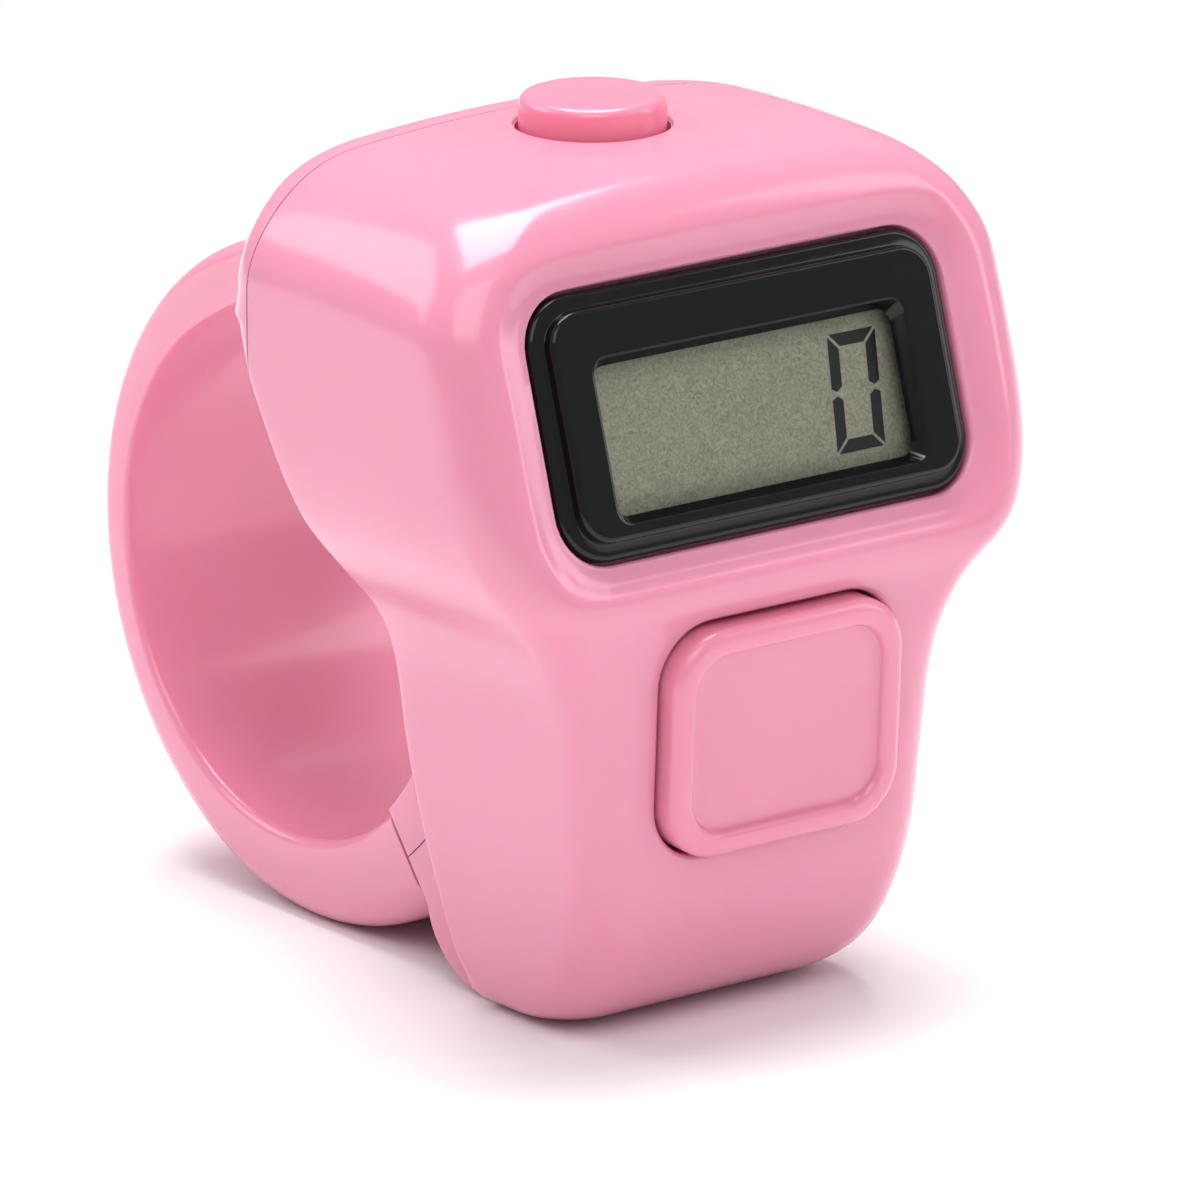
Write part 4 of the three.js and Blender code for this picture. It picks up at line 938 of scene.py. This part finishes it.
def band_section(outer, inner):
    """A loop across the band, rounded at its rims: (x, share of the way from inner to outer)."""
    thickness = math.dist(outer, inner)
    half = BAND_WIDTH / 2
    loop = []
    corners = (
        (half, thickness, BAND_OUTER_EDGE, 0),
        (-half, thickness, BAND_OUTER_EDGE, 90),
        (-half, 0, BAND_INNER_EDGE, 180),
        (half, 0, BAND_INNER_EDGE, 270),
    )
    steps = 8
    for x, rise, radius, turn in corners:
        cx = x - math.copysign(radius, x)
        cy = rise - radius if rise > 0 else radius
        for i in range(steps + 1):
            a = math.radians(turn + 90 * i / steps)
            loop.append((cx + radius * math.cos(a), (cy + radius * math.sin(a)) / thickness))
    points = []
    for x, share in loop:
        f = inner[0] + (outer[0] - inner[0]) * share
        z = inner[1] + (outer[1] - inner[1]) * share
        points.append((x, -f, z))
    return points


def make_band():
    outer, inner = band_edges()
    band = stack("band_skin", [band_section(o, i) for o, i in zip(outer, inner)])
    fix_normals(band)
    reach = HINGE_INSET + JOINT_GAP + 0.6
    half = TENON_THICKNESS / 2
    places = ((-reach, -half), (0, -half), (0, half), (-reach, half))
    tenon = [hinge_point(along, out) for along, out in places]
    combine(band, side_prism("tenon", tenon, TENON_WIDTH), "UNION")
    combine(band, rod("eye", HINGE, EYE_RADIUS, TENON_WIDTH), "UNION")
    tongue = tongue_outline(TONGUE_THICKNESS, HEAD_REAR_F - 1.2, TONGUE_TIP_F)
    tongue = side_prism("tongue", tongue, TONGUE_WIDTH)
    fork_low = (-FORK_GAP / 2, -TONGUE_TIP_F - SEAM_GAP, TONGUE_HEIGHT - FORK_REACH)
    fork_root = RESET_F - RESET_RADIUS - FORK_ROOM
    fork_high = (FORK_GAP / 2, -fork_root, TONGUE_HEIGHT + FORK_REACH)
    combine(tongue, box_object("fork", fork_low, fork_high))
    combine(band, tongue, "UNION")
    combine(band, rod("eye_bore", HINGE, PIN_RADIUS + SLIDE_GAP, BAND_WIDTH, 24))
    return band


# Display and buttons
def make_bezel():
    inset = BEZEL_LEDGE
    profile = [(BEZEL_CHAMFER, -BEZEL_DEPTH), (0, -BEZEL_DEPTH + BEZEL_CHAMFER)]
    profile += quarter((0, -LEDGE_DEPTH - LEDGE_EDGE), (LEDGE_EDGE, -LEDGE_DEPTH))
    profile += [(inset + inwards, height - LEDGE_DEPTH) for inwards, height in LEDGE_FILLET]
    profile += quarter((inset, BEZEL_PROUD - BEZEL_EDGE), (inset + BEZEL_EDGE, BEZEL_PROUD))
    profile += [(inset + BEZEL_EDGE + BEZEL_FLAT, BEZEL_PROUD)]
    loops = []
    for pull, height in profile:
        width, tall = (side - 2 * pull for side in BEZEL_SIZE)
        outline = rounded(width, tall, BEZEL_CORNER - pull, 0, 12)
        loops.append(at_height(outline, height))
    lens_seat = -BEZEL_DEPTH + LENS_THICKNESS + SLIDE_GAP
    window = [(pull, BEZEL_PROUD + height) for pull, height in WINDOW_EASE]
    window += [(WINDOW_TAPER, lens_seat), (-LENS_POCKET, lens_seat), (-LENS_POCKET, -BEZEL_DEPTH)]
    for pull, height in window:
        outline = rounded(
            WINDOW_SIZE[0] - 2 * pull,
            WINDOW_SIZE[1] - 2 * pull,
            WINDOW_CORNER - min(pull, 0),
            WINDOW_DROP,
            12,
        )
        loops.append(at_height(outline, height))
    loops.append(loops[0])
    bezel = stack("bezel_frame", loops, DISPLAY, close=False)
    fix_normals(bezel, weld=True)
    return bezel


def make_lens():
    size = [side + 2 * LENS_LAP for side in WINDOW_SIZE]
    top = -BEZEL_DEPTH + LENS_THICKNESS
    profile = [(LENS_CHAMFER, -BEZEL_DEPTH), (0, -BEZEL_DEPTH + LENS_CHAMFER)]
    profile += quarter((0, top - LENS_EDGE), (LENS_EDGE, top), 3)
    return rect_stack("lens_pane", size, WINDOW_CORNER, profile, DISPLAY, WINDOW_DROP)


def make_lcd():
    back = LCD_FRONT - LCD_THICKNESS
    ease = LCD_CHAMFER
    profile = [(ease, back), (0, back + ease), (0, LCD_FRONT - ease), (ease, LCD_FRONT)]
    return rect_stack("lcd_cell", LCD_SIZE, LCD_CORNER, profile, DISPLAY, LCD_DROP)


def digit_segments():
    """The six lit segments of a 0, as outlines with mitred ends, before the slant."""
    w, h = DIGIT_SIZE[0] / 2, DIGIT_SIZE[1] / 2
    s, g = DIGIT_STROKE, DIGIT_GAP
    top = [(-w + g, h), (w - g, h), (w - s - g, h - s), (-w + s + g, h - s)]
    low = [(x, -y) for x, y in reversed(top)]
    right = [(w, h - g), (w, g + s * 0.25), (w - s * 0.5, g), (w - s, g + s * 0.35)]
    right.append((w - s, h - s - g))
    left = [(-x, y) for x, y in reversed(right)]
    right_low = [(x, -y) for x, y in reversed(right)]
    left_low = [(-x, -y) for x, y in right]
    return [top, low, right, left, right_low, left_low]


def make_digit():
    verts, faces = [], []
    for outline in digit_segments():
        base = len(verts)
        count = len(outline)
        for height in (LCD_FRONT - 0.01, LCD_FRONT + DIGIT_RISE):
            for x, y in outline:
                verts.append((DIGIT_CENTRE[0] + x + y * DIGIT_SLANT, DIGIT_CENTRE[1] + y, height))
        faces.append(tuple(range(base + count, base + 2 * count)))
        faces.append(tuple(reversed(range(base, base + count))))
        for i in range(count):
            j = (i + 1) % count
            faces.append((base + i, base + j, base + count + j, base + count + i))
    obj = new_object("display_digit", verts, faces, DISPLAY)
    fix_normals(obj)
    return obj


def flange(reach, front, thickness):
    """(outwards, height) pairs from the back of a button's flange round to its front."""
    back = front - thickness
    ease = FLANGE_EASE
    return [(reach - ease, back), (reach, back + ease), (reach, front - ease), (reach - ease, front)]


def make_count_button():
    front = -FRONT_WALL - SEAT_GAP
    width, height = COUNT_SIZE
    panel = COUNT_PROUD - COUNT_DISH
    profile = [(-out, rise) for out, rise in flange(COUNT_LIP, front, COUNT_FLANGE)]
    profile += [(0, front), (0, COUNT_SIDE_START)]
    profile += quarter((0, COUNT_PROUD - COUNT_EDGE), (COUNT_EDGE, COUNT_PROUD), 8)
    profile += [(COUNT_RIM + inwards, COUNT_PROUD + rise) for inwards, rise in COUNT_STEP]
    profile += [(COUNT_RIM + inwards, panel + rise) for inwards, rise in COUNT_FILLET]
    loops = []
    for pull, rise in profile:
        corner = COUNT_CORNER - pull * 0.7 if pull > 0 else COUNT_CORNER
        tall = height - 2 * pull if pull >= 0 else height + min(-2 * pull, COUNT_LIP_TALL)
        outline = rounded(width - 2 * pull, tall, corner, 0, 14)
        loops.append(at_height(outline, rise))
    return stack("count_cap", loops, COUNT)


def make_reset_button():
    front = -SIDE_WALL - SEAT_GAP
    profile = [(RESET_RADIUS + out, rise) for out, rise in flange(RESET_LIP, front, RESET_FLANGE)]
    profile += [(RESET_RADIUS, front)]
    rim = quarter((0, RESET_PROUD - RESET_EDGE), (RESET_EDGE, RESET_PROUD), 8)
    profile += [(RESET_RADIUS - inset, rise) for inset, rise in rim]
    for radius in RESET_CROWN_RADII:
        profile.append((radius, RESET_PROUD - RESET_CROWN * (1 - radius / RESET_RADIUS)))
    return round_stack("reset_cap", profile, RESET)


def make_cover_screw(x, name):
    """Pan-head screw with a cross recess, seen in the rear of the head."""
    head_f = COVER_SEAT_F - SEAM_GAP
    profile = [
        (SCREW_RADIUS / 2, COVER_SCREW_LENGTH),
        (SCREW_RADIUS, COVER_SCREW_LENGTH - SCREW_POINT),
        (SCREW_RADIUS, 0),
    ]
    profile += [(SCREW_HEAD * share, -height) for share, height in SCREW_DOME]
    loops = []
    for radius, depth in profile:
        loops.append([(x + px, -head_f - depth, COVER_SCREW_Z + pz) for px, pz in circle(radius, 48)])
    screw = stack(name, loops)
    fix_normals(screw)
    for reach in (CROSS_HALF, CROSS_HALF[::-1]):
        low = (x - reach[0], -head_f + CROSS_FROM, COVER_SCREW_Z - reach[1])
        high = (x + reach[0], -head_f + HOLE_REACH, COVER_SCREW_Z + reach[1])
        combine(screw, box_object("recess", low, high))
    return screw


# Materials

# Stretch of the drawn lines in metal, along x, y and z
METAL_STRETCH = (1, 1, 30)


def linear(colour):
    """A linear colour with alpha from an sRGB hex number."""
    parts = [(colour >> shift & 255) / 255 for shift in (16, 8, 0)]
    return [c / 12.92 if c <= 0.04045 else ((c + 0.055) / 1.055) ** 2.4 for c in parts] + [1.0]


class Nodes:
    """Short calls for building one material's nodes."""

    def __init__(self, name):
        self.material = bpy.data.materials.new(name)
        self.material.use_nodes = True
        self.tree = self.material.node_tree
        self.shader = self.tree.nodes["Principled BSDF"]

    def add(self, kind, **values):
        node = self.tree.nodes.new(kind)
        for key, value in values.items():
            setattr(node, key, value)
        return node

    def link(self, source, target):
        self.tree.links.new(source, target)

    def set(self, **values):
        for key, value in values.items():
            self.shader.inputs[key.replace("_", " ")].default_value = value

    def noise(self, scale, detail=3.0, roughness=0.5, distortion=0.0):
        place = self.add("ShaderNodeTexCoord")
        node = self.add("ShaderNodeTexNoise")
        node.inputs["Scale"].default_value = scale
        node.inputs["Detail"].default_value = detail
        node.inputs["Roughness"].default_value = roughness
        node.inputs["Distortion"].default_value = distortion
        self.link(place.outputs["Object"], node.inputs["Vector"])
        return node.outputs["Fac"]

    def span(self, source, low, high, start=0.0, end=1.0):
        node = self.add("ShaderNodeMapRange")
        node.inputs["From Min"].default_value = start
        node.inputs["From Max"].default_value = end
        node.inputs["To Min"].default_value = low
        node.inputs["To Max"].default_value = high
        self.link(source, node.inputs["Value"])
        return node.outputs["Result"]

    def blend(self, source, colour_a, colour_b):
        node = self.add("ShaderNodeMix", data_type="RGBA")
        factor, first, second = (node.inputs[i] for i in (0, 6, 7))
        first.default_value = colour_a
        second.default_value = colour_b
        self.link(source, factor)
        return node.outputs[2]

    def colour(self, source, colour_a, colour_b):
        blend = self.blend(source, linear(colour_a), linear(colour_b))
        self.link(blend, self.shader.inputs["Base Color"])

    def rough(self, source):
        self.link(source, self.shader.inputs["Roughness"])

    def bump(self, source, distance, strength=1.0):
        node = self.add("ShaderNodeBump")
        node.inputs["Strength"].default_value = strength
        node.inputs["Distance"].default_value = distance
        self.link(source, node.inputs["Height"])
        self.link(node.outputs["Normal"], self.shader.inputs["Normal"])

    def mix_shaders(self, share, first, second):
        """Puts a mix of two shaders on the material's surface."""
        node = self.add("ShaderNodeMixShader")
        self.link(share, node.inputs["Fac"])
        self.link(first, node.inputs[1])
        self.link(second, node.inputs[2])
        self.link(node.outputs["Shader"], self.tree.nodes["Material Output"].inputs["Surface"])


def pink_plastic(name, colour_a, colour_b):
    """Glossy moulded plastic with a little light in its depth and faint handling marks."""
    nodes = Nodes(name)
    nodes.colour(nodes.span(nodes.noise(90, 2), 0, 1, 0.35, 0.65), colour_a, colour_b)
    nodes.rough(nodes.span(nodes.noise(420, 4, 0.6), 0.17, 0.27, 0.3, 0.75))
    nodes.set(IOR=1.49, Subsurface_Weight=0.35, Subsurface_Scale=0.0016)
    nodes.set(Coat_Weight=0.25, Coat_Roughness=0.08)
    nodes.shader.inputs["Subsurface Radius"].default_value = (1.0, 0.42, 0.48)
    nodes.bump(nodes.noise(260, 2), 0.00002, 0.35)
    return nodes.material


def black_gloss(name):
    nodes = Nodes(name)
    nodes.colour(nodes.noise(700, 3), 0x0B0C0D, 0x151617)
    nodes.rough(nodes.span(nodes.noise(900, 5, 0.7), 0.07, 0.2, 0.35, 0.8))
    nodes.set(IOR=1.5, Specular_IOR_Level=0.32)
    nodes.bump(nodes.noise(500, 2), 0.00001, 0.3)
    return nodes.material


def clear_pane(name):
    """A thin clear window: see-through, with its surface reflection."""
    nodes = Nodes(name)
    clear = nodes.add("ShaderNodeBsdfTransparent")
    clear.inputs["Color"].default_value = (0.97, 0.98, 0.975, 1)
    gloss = nodes.add("ShaderNodeBsdfGlossy")
    nodes.link(nodes.span(nodes.noise(300, 3), 0.03, 0.09, 0.3, 0.7), gloss.inputs["Roughness"])
    fresnel = nodes.add("ShaderNodeFresnel")
    fresnel.inputs["IOR"].default_value = 1.3
    nodes.mix_shaders(fresnel.outputs["Fac"], clear.outputs["BSDF"], gloss.outputs["BSDF"])
    return nodes.material


def lcd_surface(name):
    """Grey-green polariser with the short crossed grain of a reflective display."""
    nodes = Nodes(name)
    grain = nodes.noise(3800, 2, distortion=2.2)
    nodes.colour(nodes.span(grain, 0, 1, 0.3, 0.7), 0x9B9885, 0xCCC8B1)
    nodes.rough(nodes.span(nodes.noise(1500, 2), 0.42, 0.55))
    nodes.bump(grain, 0.00004, 0.45)
    return nodes.material


def plain_plastic(name, colour_a, colour_b, rough=(0.35, 0.5), scale=500):
    nodes = Nodes(name)
    nodes.colour(nodes.noise(scale, 3), colour_a, colour_b)
    nodes.rough(nodes.span(nodes.noise(scale * 2, 4), *rough))
    nodes.bump(nodes.noise(scale * 3, 2), 0.00002, 0.3)
    return nodes.material


def bright_metal(name, colour_a, colour_b, rough=(0.2, 0.38)):
    """Metal with fine drawn lines and uneven polish."""
    nodes = Nodes(name)
    place = nodes.add("ShaderNodeTexCoord")
    mapping = nodes.add("ShaderNodeMapping")
    mapping.inputs["Scale"].default_value = METAL_STRETCH
    grain = nodes.add("ShaderNodeTexNoise")
    grain.inputs["Scale"].default_value = 300
    grain.inputs["Detail"].default_value = 4
    nodes.link(place.outputs["Object"], mapping.inputs["Vector"])
    nodes.link(mapping.outputs["Vector"], grain.inputs["Vector"])
    nodes.colour(grain.outputs["Fac"], colour_a, colour_b)
    nodes.rough(nodes.span(grain.outputs["Fac"], *rough))
    nodes.set(Metallic=1.0)
    nodes.bump(grain.outputs["Fac"], 0.00001, 0.3)
    return nodes.material


MATERIALS = {
    "body_pink": pink_plastic("body_pink", 0xE08DA7, 0xE391AB),
    "button_pink": pink_plastic("button_pink", 0xE089A2, 0xE38EA6),
    "reset_pink": pink_plastic("reset_pink", 0xEC84A0, 0xEE89A4),
    "bezel_black": black_gloss("bezel_black"),
    "clear_lens": clear_pane("clear_lens"),
    "lcd": lcd_surface("lcd"),
    "foil": bright_metal("foil", 0xAEAFA8, 0xC4C5BE, (0.35, 0.55)),
    "white_plastic": plain_plastic("white_plastic", 0xE2E2DC, 0xEFEFEA),
    "zebra": plain_plastic("zebra", 0x3C3834, 0x54504A, (0.7, 0.9)),
    "board_green": plain_plastic("board_green", 0x265C36, 0x34754A, (0.3, 0.45)),
    "epoxy_black": plain_plastic("epoxy_black", 0x121214, 0x1F1F22, (0.18, 0.3)),
    "component_tan": plain_plastic("component_tan", 0xA88C5C, 0xC0A474),
    "switch_black": plain_plastic("switch_black", 0x141416, 0x222225),
    "plunger_white": plain_plastic("plunger_white", 0xD0D0CA, 0xE0E0DA),
    "flex": plain_plastic("flex", 0xBE7F30, 0xD4943F, (0.25, 0.4)),
    "steel": bright_metal("steel", 0xB8BABD, 0xD4D6D8),
    "brass": bright_metal("brass", 0xBB9756, 0xD6B677),
}


def digit_ink(name):
    nodes = Nodes(name)
    nodes.colour(nodes.noise(2600, 2), 0x05090C, 0x0C1216)
    nodes.rough(nodes.span(nodes.noise(1500, 2), 0.42, 0.55))
    return nodes.material


def finish_cad_nodes():
    """Gives every CAD node that stays in view the material of its slot."""
    for entry in frame["record"]["subparts"]:
        node = frame["nodes"][entry["node"]]
        node.data.materials.clear()
        node.data.materials.append(MATERIALS[entry["material_slot"]])
        soften(node, 40)


def dress(obj, body, slot, *nodes, material=None):
    """Gives a finished mesh its looks and its body, and hides the CAD nodes that it stands for."""
    soften(obj)
    obj.data.materials.clear()
    obj.data.materials.append(material or MATERIALS[slot])
    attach(obj, body)
    if nodes:
        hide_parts(*nodes)


finish_cad_nodes()
dress(make_front_shell(), "body", "body_pink", "front_shell")
dress(make_rear_cover(), "body", "body_pink", "rear_cover")
dress(make_band(), "band", "body_pink", "ring_band")
dress(make_bezel(), "body", "bezel_black", "display_bezel")
dress(make_lens(), "body", "clear_lens", "display_lens")
dress(make_lcd(), "body", "lcd", "lcd_glass")
dress(make_digit(), "body", "lcd", material=digit_ink("digit_ink"))
dress(make_count_button(), "count_button", "button_pink", "count_button")
dress(make_reset_button(), "reset_button", "reset_pink", "reset_button")
for station, label in zip(screw_stations(), ("left", "right")):
    name = f"cover_screw_{label}"
    dress(make_cover_screw(station, name + "_fine"), "body", "steel", name)


# Studio: lengths in metres

# Half of the floor's side, how far it lies below the foot, and where it fades into the backdrop
FLOOR_HALF = 3
FLOOR_DROP = 0.00002
FLOOR_FADE = (0.05, 0.13)
WORLD_LIGHT = 0.4

# Softboxes: place, aim, size and power in watts
LIGHTS = {
    "key": ((-0.22, -0.3, 0.42), (0, 0, 0.02), (0.4, 0.3), 0.9),
    "top": ((0.05, 0.08, 0.45), (0, 0, 0.03), (0.3, 0.3), 2.4),
    "side": ((0.34, -0.22, 0.2), (0, 0, 0.02), (0.12, 0.3), 0.3),
    "rim": ((-0.25, 0.3, 0.3), (0, 0, 0.02), (0.3, 0.2), 0.5),
}

# Camera: the focal length is given as a multiple of the picture's width
CAMERA_PLACE = (-0.2802, -0.37, 0.1525)
CAMERA_AZIMUTH = math.radians(-37.63)
CAMERA_DROP = math.radians(16.66)
CAMERA_FOCAL = 10
CAMERA_NEAR = 0.005
SENSOR_WIDTH = 36


def make_floor():
    """A plain pale floor that turns into the white backdrop away from the object."""
    nodes = Nodes("studio_floor")
    paint = nodes.blend(nodes.noise(6, 2), (0.9, 0.9, 0.9, 1), (0.915, 0.915, 0.915, 1))
    nodes.link(paint, nodes.shader.inputs["Base Color"])
    nodes.set(Roughness=0.9)
    nodes.shader.inputs["Specular IOR Level"].default_value = 0.1
    place = nodes.add("ShaderNodeTexCoord")
    distance = nodes.add("ShaderNodeVectorMath", operation="LENGTH")
    nodes.link(place.outputs["Object"], distance.inputs[0])
    far = nodes.span(distance.outputs["Value"], 0, 1, *FLOOR_FADE)
    seen = nodes.add("ShaderNodeLightPath")
    share = nodes.add("ShaderNodeMath", operation="MULTIPLY")
    nodes.link(far, share.inputs[0])
    nodes.link(seen.outputs["Is Camera Ray"], share.inputs[1])
    white = nodes.add("ShaderNodeEmission")
    nodes.mix_shaders(share.outputs["Value"], nodes.shader.outputs["BSDF"], white.outputs["Emission"])
    mesh = bpy.data.meshes.new("floor")
    corners = [(x * FLOOR_HALF, y * FLOOR_HALF, 0) for x, y in ((-1, -1), (1, -1), (1, 1), (-1, 1))]
    mesh.from_pydata(corners, [], [(0, 1, 2, 3)])
    floor = bpy.data.objects.new("floor", mesh)
    bpy.context.scene.collection.objects.link(floor)
    floor.location.z = -FLOOR_DROP
    mesh.materials.append(nodes.material)
    floor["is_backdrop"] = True


def make_world():
    """Soft even light all round, which the camera sees as plain white."""
    world = bpy.data.worlds.new("studio")
    bpy.context.scene.world = world
    world.use_nodes = True
    tree = world.node_tree
    light = tree.nodes["Background"]
    light.inputs["Color"].default_value = (1, 1, 1, 1)
    light.inputs["Strength"].default_value = WORLD_LIGHT
    white = tree.nodes.new("ShaderNodeBackground")
    white.inputs["Color"].default_value = (1, 1, 1, 1)
    white.inputs["Strength"].default_value = 1.0
    path = tree.nodes.new("ShaderNodeLightPath")
    mix = tree.nodes.new("ShaderNodeMixShader")
    tree.links.new(path.outputs["Is Camera Ray"], mix.inputs["Fac"])
    tree.links.new(light.outputs["Background"], mix.inputs[1])
    tree.links.new(white.outputs["Background"], mix.inputs[2])
    tree.links.new(mix.outputs["Shader"], tree.nodes["World Output"].inputs["Surface"])


def softbox(name, place, aim, size, power):
    data = bpy.data.lights.new(name, "AREA")
    data.shape = "RECTANGLE"
    data.size, data.size_y = size
    data.energy = power
    light = bpy.data.objects.new(name, data)
    bpy.context.scene.collection.objects.link(light)
    light.location = place
    light.rotation_mode = "QUATERNION"
    light.rotation_quaternion = (Vector(aim) - Vector(place)).to_track_quat("-Z", "Y")


def make_camera():
    data = bpy.data.cameras.new("camera")
    data.sensor_width = SENSOR_WIDTH
    data.lens = SENSOR_WIDTH * CAMERA_FOCAL
    data.clip_start = CAMERA_NEAR
    camera = bpy.data.objects.new("camera", data)
    bpy.context.scene.collection.objects.link(camera)
    back = Vector(
        (
            math.sin(CAMERA_AZIMUTH) * math.cos(CAMERA_DROP),
            -math.cos(CAMERA_AZIMUTH) * math.cos(CAMERA_DROP),
            math.sin(CAMERA_DROP),
        )
    )
    camera.location = CAMERA_PLACE
    camera.rotation_mode = "QUATERNION"
    camera.rotation_quaternion = (-back).to_track_quat("-Z", "Y")
    bpy.context.scene.camera = camera


make_floor()
make_world()
for light_name, light_settings in LIGHTS.items():
    softbox(light_name, *light_settings)
make_camera()
bpy.context.scene.view_settings.view_transform = "Standard"

save_size("visual", sizes)
